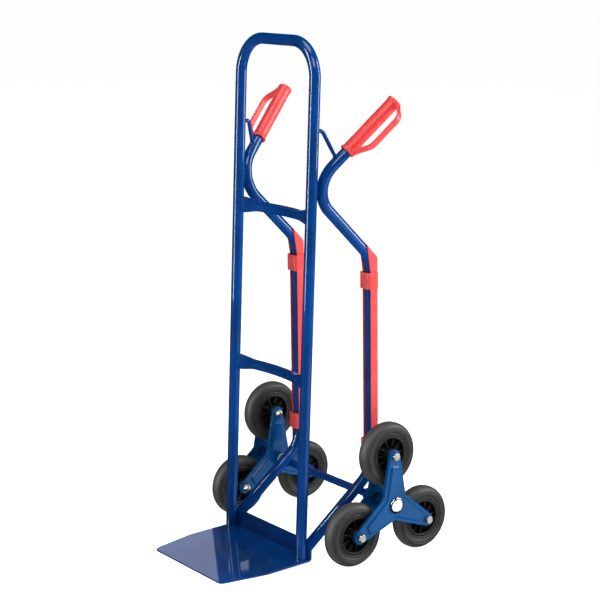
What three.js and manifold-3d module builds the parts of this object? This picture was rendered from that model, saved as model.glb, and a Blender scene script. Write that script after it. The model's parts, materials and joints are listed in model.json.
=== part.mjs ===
// Stair-climbing sack truck: a welded tube frame with a toe plate, two grips with
// knuckle guards, plastic slide rails, and a three-wheel star on each end of the axle.
// Millimetres, +Z up, +Y towards the handles, ground at z = 0.

import * as THREE from 'three';
import { mergeVertices } from 'three/addons/utils/BufferGeometryUtils.js';
import Module from 'manifold-3d';

const wasm = await Module();
wasm.setup();

// ---- Driving dimensions ----

const clearance = 0.3; // gap between faces that touch
const runningGap = 0.8; // gap between parts that turn against each other
const edgeBreak = 1; // chamfer on small turned edges

// Frame tubes
const truckHeight = 1300; // ground to the top of the hoop
const uprightSpacing = 304; // centre to centre
const tubeDiameter = 28;
const tubeWall = 2;
const uprightLean = 2.65; // degrees, towards the handles
const hoopBendRadius = 88;
const rearBendRadius = 80;

// Rear tubes
const rearTubeSetback = 220; // upright to the rear stretch, level with the axle
const rearTubeFoot = 33; // height where the rear tube meets the upstand
const rearStretchTop = 751; // height of the corner above the slide rail
const slantRise = 45; // degrees, from the slide rail forward to the upright
const handleRise = 45; // degrees, handle above level
const handleSplay = 13.6; // degrees, handle outward
const handleCornerHeight = 936;
const handleLength = 301; // from the corner to the end of the grip

// Crossbars
const crossbarDiameter = 26;
const crossbarWall = 1.5;
const crossbarHeights = { upper_crossbar: 866, lower_crossbar: 458 };
const crossbarBow = 24; // towards the handles at mid-width
const crossbarFlare = 41; // height of the flattened end
const crossbarFlat = 9; // depth of the flattened end
const crossbarFlareLength = 55;

// Toe plate
const plateThickness = 4;
const plateBackWidth = 347;
const plateFrontWidth = 297;
const plateLength = 254; // upstand to the front edge
const plateKink = 125; // from the front edge to where the sides start to taper
const plateTilt = 1.23; // degrees
const plateCornerRadius = 12;
const upstandHeight = 52;
const upstandChamfer = 10;

// Grips
const gripLength = 174;
const gripWall = 3;
const gripCrown = 1.5; // rim round the closed end, proud of the grip
const flangeDiameter = 40;
const flangeThickness = 6;
const guardOffset = 56; // grip axis to the middle of the guard
const guardWidth = 18;
const guardThickness = 6;
const guardStart = 45; // along the grip to where the guard runs straight
const guardEnd = 142; // along the grip to where it turns back
const guardBendRadius = 28;
const guardTwist = { r: 7, l: -1.5 }; // degrees round each grip, down and back

// Handle struts
const strutDiameter = 10;
const strutHeight = 1076;
const strutReach = 96; // along the handle from its corner
const strutBendRadius = 12;

// Slide rails and their clips
const railWall = 2;
const railBottom = 180;
const railTop = 745;
const railFront = 11; // side walls ahead of the tube's centre
const railBack = 17; // back face behind the tube's centre
const railBeak = 42; // height of the sloping top
const railBeakReach = 22; // tip of the sloping top ahead of the tube's centre
const railCorner = 11.5; // radius of the back corners
const clipHeight = 42;
const clipWall = 3;
const clipPlay = 2.5; // between the tube's front and the clip
const clipLap = 10; // clip ends behind the tube's centre
const clipCorner = 7.5; // radius of the front corners
const clipHeights = { lower: 262, upper: 693 };

// Axle and stars
const axleDiameter = 20;
const axleSetback = 200; // behind the upright's foot
const collarDiameter = 30;
const collarLength = 20;
const collarSetback = 2; // upright tube to the collar
const washerThickness = 2.5;
const washerDiameter = 38;
const capDiameter = 41;
const capThickness = 6;
const starStandoff = 94; // upright to the middle of the wheels
const starRadius = 125.5; // axle centre to wheel centre
const starWidth = 70; // over the arms
const sheet = 3;
const starFlange = 9;
const armEndRadius = 17;
const starValley = 41; // axle centre to the edge between two arms
const panelBorder = 8;
const panelRise = 4;
const panelReach = 101; // axle centre to the end of the raised panel
const hubTubeDiameter = 36;

// Wheels
const wheelDiameter = 162;
const tyreWidth = 40;
const tyreBore = 100;
const treadFlat = 14; // width of the tread on the ground
const treadDrop = 6; // tread down to its shoulder
const rimWall = 8;
const rimWidth = 34;
const webThickness = 5;
const hubDiameter = 34;
const bossGap = 2; // boss to the edges of the star's flanges
const boltDiameter = 12;
const boltHeadWidth = 19;
const boltHeadHeight = 7.5;
const nutHeight = 12;
const threadBeyondNut = 3;
const sleeveDiameter = 18;

// Facets round each kind of surface
const tubeSides = 12;
const smallSides = 12;
const discSides = 20;
const bendSteps = 5;
const smallBendSteps = 4;

// ---- Sizes worked out from those ----

const rad = THREE.MathUtils.degToRad;
const tubeRadius = tubeDiameter / 2;
const axleRadius = axleDiameter / 2;
const wheelRadius = wheelDiameter / 2;
const uprightX = uprightSpacing / 2;
const wheelTrack = uprightSpacing + 2 * starStandoff;
const axleHeight = wheelRadius + starRadius / 2;
const uprightY = (z) => z * Math.tan(rad(uprightLean));
const plateSlope = Math.tan(rad(plateTilt));
const plateUnderside = (y) => (y - plateFrontY) * plateSlope;
const upstandFront = tubeRadius / Math.cos(rad(uprightLean)) + clearance;
const plateFrontY = upstandFront - plateLength;
const upstandBack = upstandFront + plateThickness;
const wheelRearY = axleSetback + starRadius * Math.cos(rad(30)) + wheelRadius;
const centreY = (plateFrontY + wheelRearY) / 2;

// Radius of a faceted bore whose flats clear a round of the given radius.
const boreRadius = (radius, gap, sides) => (radius + gap) / Math.cos(Math.PI / sides);

// ---- Finishes ----

function finish(color, roughness, metalness) {
  return new THREE.MeshStandardMaterial({ color, roughness, metalness });
}

const bluePaint = finish(0x0b3f8a, 0.3, 0.1);
const starPaint = finish(0x2f5f9f, 0.4, 0.1);
const redPlastic = finish(0xe33a41, 0.45, 0);
const blackPlastic = finish(0x161616, 0.5, 0);
const rubber = finish(0x3f413f, 0.8, 0);
const zinc = finish(0xc9ccce, 0.35, 0.9);
const chrome = finish(0xe4e6e8, 0.12, 1);

// ---- Solids ----

function toSolid(geometry) {
  const bare = geometry.clone();
  bare.deleteAttribute('normal');
  bare.deleteAttribute('uv');
  const merged = mergeVertices(bare, 1e-4);
  const vertProperties = new Float32Array(merged.attributes.position.array);
  const triVerts = new Uint32Array(merged.index.array);
  return new wasm.Manifold(new wasm.Mesh({ numProp: 3, vertProperties, triVerts }));
}

function toGeometry(solid) {
  const { vertProperties, triVerts } = solid.getMesh();
  const geometry = new THREE.BufferGeometry();
  geometry.setAttribute('position', new THREE.BufferAttribute(vertProperties, 3));
  geometry.setIndex(new THREE.BufferAttribute(triVerts, 1));
  return geometry;
}

function join(...geometries) {
  return toGeometry(geometries.map(toSolid).reduce((whole, piece) => whole.add(piece)));
}

function cut(geometry, ...tools) {
  return toGeometry(tools.map(toSolid).reduce((whole, tool) => whole.subtract(tool), toSolid(geometry)));
}

function overlap(geometry, other) {
  return toGeometry(toSolid(geometry).intersect(toSolid(other)));
}

// Keeps the largest piece of a cut and drops the slivers beyond it.
function largestPiece(geometry) {
  return toGeometry(toSolid(geometry).decompose().sort((a, b) => b.volume() - a.volume())[0]);
}

// ---- Shapes ----

function circle(radius, sides, Kind = THREE.Shape) {
  const outline = new Kind();
  for (let side = 0; side < sides; side += 1) {
    const angle = (side / sides) * Math.PI * 2;
    const point = [radius * Math.cos(angle), radius * Math.sin(angle)];
    if (side === 0) outline.moveTo(...point);
    else outline.lineTo(...point);
  }
  outline.closePath();
  return outline;
}

function ring(outerRadius, innerRadius, sides) {
  const outline = circle(outerRadius, sides);
  outline.holes.push(circle(innerRadius, sides, THREE.Path));
  return outline;
}

function polygon(points) {
  return new THREE.Shape(points.map(([x, y]) => new THREE.Vector2(x, y)));
}

function extrude(shape, depth) {
  return new THREE.ExtrudeGeometry(shape, { depth, bevelEnabled: false, curveSegments: bendSteps });
}

// Turns a shape drawn in (y, z) and extruded along +z into one extruded along +X.
const alongX = new THREE.Matrix4().makeBasis(
  new THREE.Vector3(0, 1, 0),
  new THREE.Vector3(0, 0, 1),
  new THREE.Vector3(1, 0, 0),
);

function extrudeX(shape, from, to) {
  return extrude(shape, to - from).applyMatrix4(alongX).translate(from, 0, 0);
}

// A turned part about the X axis; the profile is a list of [radius, x].
function turnX(profile, sides) {
  const points = profile.map(([radius, x]) => new THREE.Vector2(radius, x));
  return new THREE.LatheGeometry(points, sides).rotateZ(-Math.PI / 2);
}

function turnedRing(outerRadius, innerRadius, from, to, sides) {
  const profile = [
    [innerRadius, from],
    [outerRadius, from],
    [outerRadius, to],
    [innerRadius, to],
    [innerRadius, from],
  ];
  return turnX(profile, sides);
}

// A centreline of straight stretches joined by arcs, with steps only in the arcs.
class BentPath extends THREE.Curve {
  constructor(points, bendRadius, steps = bendSteps) {
    super();
    this.stations = [];
    const last = points.length - 1;
    const direction = (i) => points[i + 1].clone().sub(points[i]).normalize();
    this.stations.push({ point: points[0], tangent: direction(0) });
    for (let i = 1; i < last; i += 1) {
      this.addBend(points[i], direction(i - 1), direction(i), bendRadius, steps);
    }
    this.stations.push({ point: points[last], tangent: direction(last - 1) });
  }

  addBend(corner, arriving, leaving, radius, steps) {
    const angle = arriving.angleTo(leaving);
    const start = corner.clone().addScaledVector(arriving, -radius * Math.tan(angle / 2));
    const inward = leaving.clone().sub(arriving).normalize();
    const centre = corner.clone().addScaledVector(inward, radius / Math.cos(angle / 2));
    const spoke = start.sub(centre);
    const axis = arriving.clone().cross(leaving).normalize();
    for (let step = 0; step <= steps; step += 1) {
      const turn = (angle * step) / steps;
      const point = spoke.clone().applyAxisAngle(axis, turn).add(centre);
      this.stations.push({ point, tangent: arriving.clone().applyAxisAngle(axis, turn) });
    }
  }

  station(t) {
    return this.stations[Math.round(t * (this.stations.length - 1))];
  }

  getPoint(t) {
    return this.station(t).point.clone();
  }

  getPointAt(t) {
    return this.getPoint(t);
  }

  getTangentAt(t) {
    return this.station(t).tangent.clone();
  }
}

function sweep(shape, path) {
  return new THREE.ExtrudeGeometry(shape, { extrudePath: path, steps: path.stations.length - 1 });
}

function pipe(path, diameter, wall) {
  return sweep(ring(diameter / 2, diameter / 2 - wall, tubeSides), path);
}

const vec = (x, y, z) => new THREE.Vector3(x, y, z);

// ---- Assembly ----

const truck = new THREE.Group();
truck.position.y = -centreY;
const frame = new THREE.Group();
truck.add(frame);

function place(parent, name, geometry, material) {
  const mesh = new THREE.Mesh(geometry, material);
  mesh.name = name;
  parent.add(mesh);
  return mesh;
}

function mirrored(geometry) {
  const copy = geometry.clone().scale(-1, 1, 1);
  const order = copy.index.array;
  for (let i = 0; i < order.length; i += 3) [order[i], order[i + 1]] = [order[i + 1], order[i]];
  return copy;
}

// Adds the right piece and its mirror image on the left.
function placePair(name, geometry, material) {
  const right = toGeometry(toSolid(geometry));
  place(frame, `${name}_r`, right, material);
  place(frame, `${name}_l`, mirrored(right), material);
}

// ---- Toe plate: a tilted blade with an upstand behind the uprights ----

function toePlate() {
  const halfBack = plateBackWidth / 2;
  const halfFront = plateFrontWidth / 2;
  const kinkY = plateFrontY + plateKink;
  const taper = Math.atan2(halfBack - halfFront, plateKink);
  const cornerX = halfFront + plateCornerRadius * Math.sin(taper);
  const cornerY = plateFrontY + plateCornerRadius * Math.cos(taper);
  const frontX = halfFront - plateCornerRadius;
  const blade = new THREE.Shape();
  blade.moveTo(-halfBack, upstandBack + upstandHeight);
  blade.lineTo(-halfBack, kinkY);
  blade.lineTo(-cornerX, cornerY);
  blade.quadraticCurveTo(-halfFront, plateFrontY, -frontX, plateFrontY);
  blade.lineTo(frontX, plateFrontY);
  blade.quadraticCurveTo(halfFront, plateFrontY, cornerX, cornerY);
  blade.lineTo(halfBack, kinkY);
  blade.lineTo(halfBack, upstandBack + upstandHeight);
  const plan = extrude(blade, 3 * upstandHeight).translate(0, 0, -upstandHeight);

  const topEdge = upstandHeight + plateThickness;
  const heel = plateUnderside(upstandBack);
  const side = polygon([
    [plateFrontY, 0],
    [upstandBack + uprightY(heel), heel],
    [upstandBack + uprightY(topEdge), topEdge],
    [upstandFront + uprightY(topEdge), topEdge],
    [upstandFront + uprightY(heel + plateThickness), heel + plateThickness],
    [plateFrontY, plateThickness],
  ]);
  const bent = extrudeX(side, -halfBack, halfBack);

  const c = upstandChamfer;
  const face = polygon([
    [-halfBack, -c],
    [halfBack, -c],
    [halfBack, topEdge - c],
    [halfBack - c, topEdge],
    [c - halfBack, topEdge],
    [-halfBack, topEdge - c],
  ]);
  const front = extrude(face, 2 * plateLength).rotateX(Math.PI / 2).translate(0, plateLength, 0);
  return overlap(overlap(bent, plan), front);
}

place(frame, 'toe_plate', toePlate(), bluePaint);

// Everything below the blade's top face or ahead of the upstand's back, to trim tubes.
function belowPlate() {
  const reach = plateLength;
  const top = plateThickness + clearance;
  const side = polygon([
    [plateFrontY, -reach],
    [reach, -reach],
    [reach, plateUnderside(reach) + top],
    [plateFrontY, top],
  ]);
  return extrudeX(side, -reach, reach);
}

function aheadOfUpstandBack() {
  const lean = Math.tan(rad(uprightLean));
  const back = upstandBack + clearance;
  const reach = 2 * upstandHeight;
  const side = polygon([
    [back - reach, -reach],
    [back - reach * lean, -reach],
    [back + reach * lean, reach],
    [back - reach, reach],
  ]);
  return extrudeX(side, -plateBackWidth, plateBackWidth);
}

// ---- Main hoop: both uprights and the top bar from one tube ----

const hoopTop = truckHeight - tubeRadius;
const hoopFoot = (side) => vec(side * uprightX, uprightY(-tubeRadius), -tubeRadius);
const hoopCorner = (side) => vec(side * uprightX, uprightY(hoopTop), hoopTop);
const hoopPath = new BentPath([hoopFoot(-1), hoopCorner(-1), hoopCorner(1), hoopFoot(1)], hoopBendRadius);
place(frame, 'main_hoop', cut(pipe(hoopPath, tubeDiameter, tubeWall), belowPlate()), bluePaint);

// ---- Rear tubes: up from the upstand, over the axle, back to the upright, out to the grip ----

const axleCentre = vec(0, axleSetback, axleHeight);
const footPoint = vec(uprightX, upstandBack, rearTubeFoot);
const axleOffset = tubeRadius + axleRadius + clearance;
const axleReach = footPoint.clone().setX(0).distanceTo(axleCentre);
const slantToAxle = Math.atan2(axleHeight - rearTubeFoot, axleSetback - upstandBack);
const footSlant = slantToAxle + Math.asin(axleOffset / axleReach);
const rearY = uprightY(axleHeight) + rearTubeSetback;
const lowerCornerZ = rearTubeFoot + (rearY - upstandBack) * Math.tan(footSlant);
const lowerCorner = vec(uprightX, rearY, lowerCornerZ);
const handleDirection = vec(
  Math.sin(rad(handleSplay)),
  Math.cos(rad(handleSplay)) * Math.cos(rad(handleRise)),
  Math.cos(rad(handleSplay)) * Math.sin(rad(handleRise)),
);
const slantDirection = vec(0, -Math.cos(rad(slantRise)), Math.sin(rad(slantRise)));
const handleBend = slantDirection.angleTo(handleDirection);
const bendDepth = rearBendRadius * (1 / Math.cos(handleBend / 2) - 1);
const handleCornerY = uprightY(handleCornerHeight) + tubeDiameter + clearance - bendDepth;
const handleCorner = vec(uprightX, handleCornerY, handleCornerHeight);
const upperCornerY = handleCornerY + (handleCornerHeight - rearStretchTop) / Math.tan(rad(slantRise));
const upperCorner = vec(uprightX, upperCornerY, rearStretchTop);
const gripTopInside = handleLength - gripWall - clearance;
const handleEnd = handleCorner.clone().addScaledVector(handleDirection, gripTopInside);
const footStart = vec(uprightX, 0, rearTubeFoot - upstandBack * Math.tan(footSlant));
const rearCorners = [footStart, lowerCorner, upperCorner, handleCorner, handleEnd];
const rearPath = new BentPath(rearCorners, rearBendRadius);
placePair('rear_tube', cut(pipe(rearPath, tubeDiameter, tubeWall), aheadOfUpstandBack()), bluePaint);

// ---- Crossbars: bowed tubes with flattened, flared ends ----

class BowedPath extends THREE.Curve {
  constructor(halfSpan, bow) {
    super();
    this.halfSpan = halfSpan;
    this.bow = bow;
    this.stations = new Array(2 * bendSteps + 3);
  }

  // Stations crowd towards the ends, where the tube flares.
  getPointAt(t) {
    const across = Math.sin((t - 0.5) * Math.PI);
    return vec(across * this.halfSpan, this.bow * (1 - across ** 2), 0);
  }

  getTangentAt(t) {
    const across = Math.sin((t - 0.5) * Math.PI);
    return vec(this.halfSpan, -2 * this.bow * across, 0).normalize();
  }
}

function crossbar() {
  const halfSpan = uprightX;
  const geometry = pipe(new BowedPath(halfSpan, crossbarBow), crossbarDiameter, crossbarWall);
  const position = geometry.attributes.position;
  for (let i = 0; i < position.count; i += 1) {
    const x = position.getX(i);
    const fromEnd = Math.max(0, halfSpan - tubeRadius - Math.abs(x));
    const flare = 1 - THREE.MathUtils.smoothstep(fromEnd, 0, crossbarFlareLength);
    const middle = crossbarBow * (1 - (x / halfSpan) ** 2);
    const depth = 1 + (crossbarFlat / crossbarDiameter - 1) * flare;
    const height = 1 + (crossbarFlare / crossbarDiameter - 1) * flare;
    position.setY(i, middle + (position.getY(i) - middle) * depth);
    position.setZ(i, position.getZ(i) * height);
  }
  return geometry;
}

function uprightEnvelope(side) {
  const radius = boreRadius(tubeRadius, clearance, discSides);
  const shape = circle(radius, discSides);
  const path = new BentPath([hoopFoot(side), hoopCorner(side)], hoopBendRadius);
  return sweep(shape, path);
}

for (const [name, height] of Object.entries(crossbarHeights)) {
  const bar = crossbar().rotateX(-rad(uprightLean)).translate(0, uprightY(height), height);
  place(frame, name, largestPiece(cut(bar, uprightEnvelope(-1), uprightEnvelope(1))), bluePaint);
}

// ---- Grips with knuckle guards, built along +Z and turned onto the handles ----

const gripRadius = tubeRadius + gripWall;
const gripStart = handleLength - gripLength;

function guard() {
  const root = gripRadius - guardThickness / 2;
  const points = [
    vec(0, root, guardThickness / 2),
    vec(0, guardOffset, guardStart),
    vec(0, guardOffset, guardEnd),
    vec(0, root, gripLength - guardThickness / 2),
  ];
  const path = new BentPath(points, guardBendRadius, smallBendSteps);
  const half = guardWidth / 2;
  const lean = guardThickness / 2;
  const bar = polygon([
    [-half, -lean],
    [half, -lean],
    [half, lean],
    [-half, lean],
  ]);
  return sweep(bar, path);
}

function grip() {
  const flangeRadius = flangeDiameter / 2;
  const bore = boreRadius(tubeRadius, clearance, tubeSides);
  const lathe = (profile, sides) => {
    const points = profile.map(([radius, z]) => new THREE.Vector2(radius, z));
    return new THREE.LatheGeometry(points, sides).rotateX(Math.PI / 2);
  };
  const body = lathe(
    [
      [0, 0],
      [flangeRadius - edgeBreak, 0],
      [flangeRadius, flangeThickness / 2],
      [flangeRadius - edgeBreak, flangeThickness],
      [gripRadius, flangeThickness],
      [gripRadius, gripLength - 2 * gripWall],
      [gripRadius + gripCrown, gripLength - gripWall],
      [gripRadius - gripCrown, gripLength],
      [0, gripLength],
    ],
    tubeSides,
  );
  const inside = lathe(
    [
      [0, -gripWall],
      [bore, -gripWall],
      [bore, gripLength - gripWall],
      [0, gripLength - gripWall],
    ],
    tubeSides,
  );
  return cut(join(body, guard()), inside);
}

function onHandle(geometry, twist) {
  const along = handleDirection;
  const outward = vec(1, 0, 0).addScaledVector(along, -along.x).normalize();
  outward.applyAxisAngle(along, rad(twist));
  const across = outward.clone().cross(along);
  const start = handleCorner.clone().addScaledVector(along, gripStart);
  const turn = new THREE.Matrix4().makeBasis(across, outward, along).setPosition(start);
  return geometry.applyMatrix4(turn);
}

place(frame, 'grip_r', onHandle(grip(), guardTwist.r), redPlastic);
place(frame, 'grip_l', mirrored(onHandle(grip(), guardTwist.l)), redPlastic);

// ---- Handle struts: bent rods from the upright down to the handle ----

function strut() {
  const top = vec(uprightX, uprightY(strutHeight) + tubeRadius / 2, strutHeight);
  const knee = top.clone().setY(uprightY(strutHeight) + tubeRadius + strutBendRadius);
  const foot = handleCorner.clone().addScaledVector(handleDirection, strutReach);
  const path = new BentPath([top, knee, foot], strutBendRadius, smallBendSteps);
  return sweep(circle(strutDiameter / 2, smallSides), path);
}

function handleEnvelope() {
  const end = handleCorner.clone().addScaledVector(handleDirection, handleLength);
  const path = new BentPath([handleCorner, end], rearBendRadius);
  return sweep(circle(boreRadius(tubeRadius, clearance, discSides), discSides), path);
}

placePair('handle_strut', largestPiece(cut(strut(), uprightEnvelope(1), handleEnvelope())), bluePaint);

// ---- Slide rails: plastic channels behind the upright stretch of the rear tubes ----

const railLean = Math.atan2(lowerCorner.y - upperCorner.y, upperCorner.z - lowerCorner.z);
const railY = (z) => lowerCorner.y - (z - lowerCorner.z) * Math.tan(railLean);
const railInner = boreRadius(tubeRadius, clearance, discSides);
const railHalfWidth = railInner + railWall;

function channelOutline(halfWidth, back, front, cornerRadius) {
  const outline = new THREE.Shape();
  outline.moveTo(-halfWidth, -front);
  outline.lineTo(halfWidth, -front);
  outline.lineTo(halfWidth, back - cornerRadius);
  outline.quadraticCurveTo(halfWidth, back, halfWidth - cornerRadius, back);
  outline.lineTo(cornerRadius - halfWidth, back);
  outline.quadraticCurveTo(-halfWidth, back, -halfWidth, back - cornerRadius);
  outline.closePath();
  return outline;
}

// Room for the tube and everything ahead of it, swept along the tube.
function tubeSlot(radius, reach) {
  const outline = new THREE.Shape();
  outline.moveTo(radius, reach);
  outline.lineTo(-radius, reach);
  outline.lineTo(-radius, 0);
  outline.absarc(0, 0, radius, Math.PI, 2 * Math.PI, false);
  outline.closePath();
  return outline;
}

function rail() {
  const height = railTop + railBeak - railBottom;
  const back = Math.max(railBack, railHalfWidth);
  const plan = channelOutline(railHalfWidth, back, railBeakReach, railCorner);
  const bendStart = upperCorner.z - rearBendRadius * Math.tan(rad(90 - slantRise) / 2) - railBottom;
  const side = polygon([
    [-railFront, 0],
    [back + railWall, 0],
    [back + railWall, height - railBeak],
    [back, height - railBeak],
    [-railBeakReach, height],
    [-railFront, bendStart],
  ]);
  const outside = overlap(extrude(plan, height), extrudeX(side, -tubeDiameter, tubeDiameter));
  outside.rotateX(railLean).translate(uprightX, railY(railBottom), railBottom);
  const below = railBottom - tubeDiameter;
  const entry = vec(uprightX, railY(below), below);
  const route = new BentPath([entry, upperCorner, handleCorner], rearBendRadius);
  return cut(outside, sweep(tubeSlot(railInner, 2 * tubeDiameter), route));
}

placePair('slide_rail', largestPiece(rail()), redPlastic);

// Clips wrap the front of the tube and grip the rail's side walls.
function clip(height) {
  const inner = railHalfWidth + clearance;
  const outer = inner + clipWall;
  const half = clipHeight / 2;
  const frontInner = Math.max(railFront, tubeRadius) + clipPlay;
  const outline = channelOutline(outer, frontInner + clipWall, clipLap, clipCorner);
  const hole = channelOutline(inner, frontInner, 2 * clipLap, clipPlay / 2);
  const bore = extrude(hole, 2 * clipHeight).translate(0, 0, -half);
  const shell = cut(extrude(outline, clipHeight), bore);
  const turned = shell.rotateZ(Math.PI).translate(0, 0, -half);
  return turned.rotateX(railLean).translate(uprightX, railY(height), height);
}

for (const [level, height] of Object.entries(clipHeights)) {
  placePair(`rail_clip_${level}`, clip(height), redPlastic);
}

// ---- Axle with its collars, washers and end caps ----

const hubOuterX = wheelTrack / 2 + starWidth / 2 + panelRise;
const collarX = uprightX + tubeRadius + collarSetback;
const washerX = collarX + collarLength + clearance;
const hubInnerX = washerX + washerThickness + clearance;
const capX = hubOuterX + runningGap;
const axle = turnX(
  [
    [0, -capX - capThickness / 2],
    [axleRadius, -capX - capThickness / 2],
    [axleRadius, capX + capThickness / 2],
    [0, capX + capThickness / 2],
  ],
  smallSides,
);
const onAxle = (geometry) => geometry.translate(axleCentre.x, axleCentre.y, axleCentre.z);
place(frame, 'axle', onAxle(axle), bluePaint);

function cap() {
  const socket = boreRadius(axleRadius, clearance, smallSides);
  const radius = capDiameter / 2;
  const profile = [
    [socket, capX],
    [radius - edgeBreak, capX],
    [radius, capX + edgeBreak],
    [radius, capX + capThickness / 2],
    [radius - capThickness / 2, capX + capThickness - edgeBreak],
    [0, capX + capThickness],
    [0, capX + capThickness / 2 + clearance],
    [socket, capX + capThickness / 2 + clearance],
    [socket, capX],
  ];
  return turnX(profile, discSides);
}

const axleBore = boreRadius(axleRadius, clearance, smallSides);
const collar = turnedRing(collarDiameter / 2, axleBore, collarX, collarX + collarLength, smallSides);
const washer = turnedRing(washerDiameter / 2, axleBore, washerX, washerX + washerThickness, smallSides);
placePair('axle_collar', onAxle(collar), bluePaint);
placePair('thrust_washer', onAxle(washer), zinc);
placePair('hub_cap', onAxle(cap()), chrome);

// ---- Stars: two pressed plates, a hub tube, and three bolts, sleeves and nuts ----

const armAngles = [90, 210, 330].map(rad);
const armEnd = (angle) => [starRadius * Math.cos(angle), starRadius * Math.sin(angle)];

// The unit normal of an arm's left side, in the arm's own frame.
function sideNormal() {
  const cornerAngle = rad(60);
  const valleyX = starValley * Math.cos(cornerAngle);
  const valleyY = starValley * Math.sin(cornerAngle);
  const distance = Math.hypot(starRadius - valleyX, valleyY);
  const angle = Math.atan2(valleyY, valleyX - starRadius) - Math.acos(armEndRadius / distance);
  return { x: Math.cos(angle), y: Math.sin(angle), angle };
}

const armSide = sideNormal();
const valleyFacing = armSide.x * Math.cos(rad(60)) + armSide.y * Math.sin(rad(60));
const valleyRadius = (inset) => starValley - inset / valleyFacing;

function starOutline(inset) {
  const outline = [];
  const radius = armEndRadius - inset;
  for (const arm of armAngles) {
    const [x, y] = armEnd(arm);
    for (let step = 0; step <= smallBendSteps; step += 1) {
      const angle = arm + armSide.angle * ((2 * step) / smallBendSteps - 1);
      outline.push([x + radius * Math.cos(angle), y + radius * Math.sin(angle)]);
    }
    const valley = arm + rad(60);
    const reach = valleyRadius(inset);
    outline.push([reach * Math.cos(valley), reach * Math.sin(valley)]);
  }
  return polygon(outline);
}

// Three arms cut off square, with half-widths from the arm's side lines.
function panelOutline(inset, reach) {
  const outline = [];
  const sideOffset = starRadius * armSide.x + armEndRadius - inset;
  const halfWidth = (sideOffset - reach * armSide.x) / armSide.y;
  for (const arm of armAngles) {
    for (const side of [-1, 1]) {
      const x = reach * Math.cos(arm) - side * halfWidth * Math.sin(arm);
      const y = reach * Math.sin(arm) + side * halfWidth * Math.cos(arm);
      outline.push([x, y]);
    }
    const valley = arm + rad(60);
    outline.push([valleyRadius(inset) * Math.cos(valley), valleyRadius(inset) * Math.sin(valley)]);
  }
  return polygon(outline);
}

// A raised panel with sloping sides, standing on the plane x = base.
function panel(inset, reach, base) {
  const geometry = new THREE.ExtrudeGeometry(panelOutline(inset + panelRise, reach - panelRise), {
    depth: sheet,
    bevelThickness: panelRise,
    bevelSize: panelRise,
    bevelSegments: 1,
  });
  geometry.applyMatrix4(alongX).translate(base - sheet, 0, 0);
  const disc = circle(2 * starRadius, smallSides);
  return cut(geometry, extrudeX(disc, base - sheet - 2 * panelRise, base - sheet / 2));
}

// The plate on the +x side of the star; its outer face is at x = starWidth / 2.
function starPlate() {
  const outer = starWidth / 2;
  const pressing = extrudeX(starOutline(0), outer - starFlange, outer);
  const pocket = extrudeX(starOutline(sheet), 0, outer - sheet);
  const raised = panel(panelBorder, panelReach, outer);
  const hollow = panel(panelBorder + sheet / 2, panelReach - sheet / 2, outer - sheet);
  const tools = [pocket, hollow];
  for (const arm of armAngles) {
    const bore = circle(boreRadius(boltDiameter / 2, clearance, smallSides), smallSides);
    tools.push(extrudeX(bore, 0, 2 * outer).translate(0, ...armEnd(arm)));
  }
  const hubBore = circle(boreRadius(hubTubeDiameter / 2, clearance, discSides), discSides);
  tools.push(extrudeX(hubBore, 0, 2 * outer));
  return cut(join(pressing, raised), ...tools);
}

function hexagon(width) {
  const corner = width / Math.sqrt(3);
  return circle(corner, 6);
}

const boltGrip = starWidth / 2;
const boltTail = boltGrip + nutHeight + threadBeyondNut;

function bolt() {
  const seat = boltGrip + clearance;
  const head = extrudeX(hexagon(boltHeadWidth), seat, seat + boltHeadHeight);
  const shank = extrudeX(circle(boltDiameter / 2, smallSides), -boltTail, seat + boltHeadHeight / 2);
  return join(head, shank);
}

function nut() {
  const bore = circle(boreRadius(boltDiameter / 2, clearance, smallSides), smallSides, THREE.Path);
  const body = hexagon(boltHeadWidth);
  body.holes.push(bore);
  const seat = -boltGrip - clearance;
  return extrudeX(body, seat - nutHeight, seat);
}

const sleeveHalf = starWidth / 2 - sheet - clearance;
const sleeveBore = boreRadius(boltDiameter / 2, clearance, smallSides);
const sleeve = () => turnedRing(sleeveDiameter / 2, sleeveBore, -sleeveHalf, sleeveHalf, smallSides);

// ---- Wheels ----

function tyre() {
  const half = tyreWidth / 2;
  const bore = tyreBore / 2;
  const depth = wheelRadius - bore;
  const beadHalf = rimWidth / 2;
  const side = [
    [bore, beadHalf],
    [bore + depth * 0.3, (beadHalf + half) / 2],
    [bore + depth * 0.55, half],
    [wheelRadius - treadDrop, half * 0.85],
    [wheelRadius, treadFlat / 2],
  ];
  const near = side.map(([radius, x]) => [radius, -x]);
  const far = [...side].reverse();
  return turnX([...near, ...far, near[0]], discSides);
}

function wheelHub() {
  const rimOuter = (tyreBore / 2 - clearance) * Math.cos(Math.PI / discSides);
  const rimInner = tyreBore / 2 - rimWall;
  const rimHalf = rimWidth / 2;
  const boss = hubDiameter / 2;
  const neck = armEndRadius - sheet - edgeBreak;
  const neckHalf = sleeveHalf - runningGap;
  const bossHalf = starWidth / 2 - starFlange - bossGap;
  const bore = boreRadius(sleeveDiameter / 2, clearance, smallSides);
  const barrel = turnX(
    [
      [bore, -neckHalf],
      [neck, -neckHalf],
      [neck, -bossHalf],
      [boss, -bossHalf],
      [boss, bossHalf],
      [neck, bossHalf],
      [neck, neckHalf],
      [bore, neckHalf],
      [bore, -neckHalf],
    ],
    smallSides,
  );
  const rim = turnedRing(rimOuter, rimInner, -rimHalf, rimHalf, discSides);
  const web = turnedRing(
    rimInner + edgeBreak,
    boss - edgeBreak,
    -webThickness / 2,
    webThickness / 2,
    discSides,
  );
  return join(barrel, rim, web);
}

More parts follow.
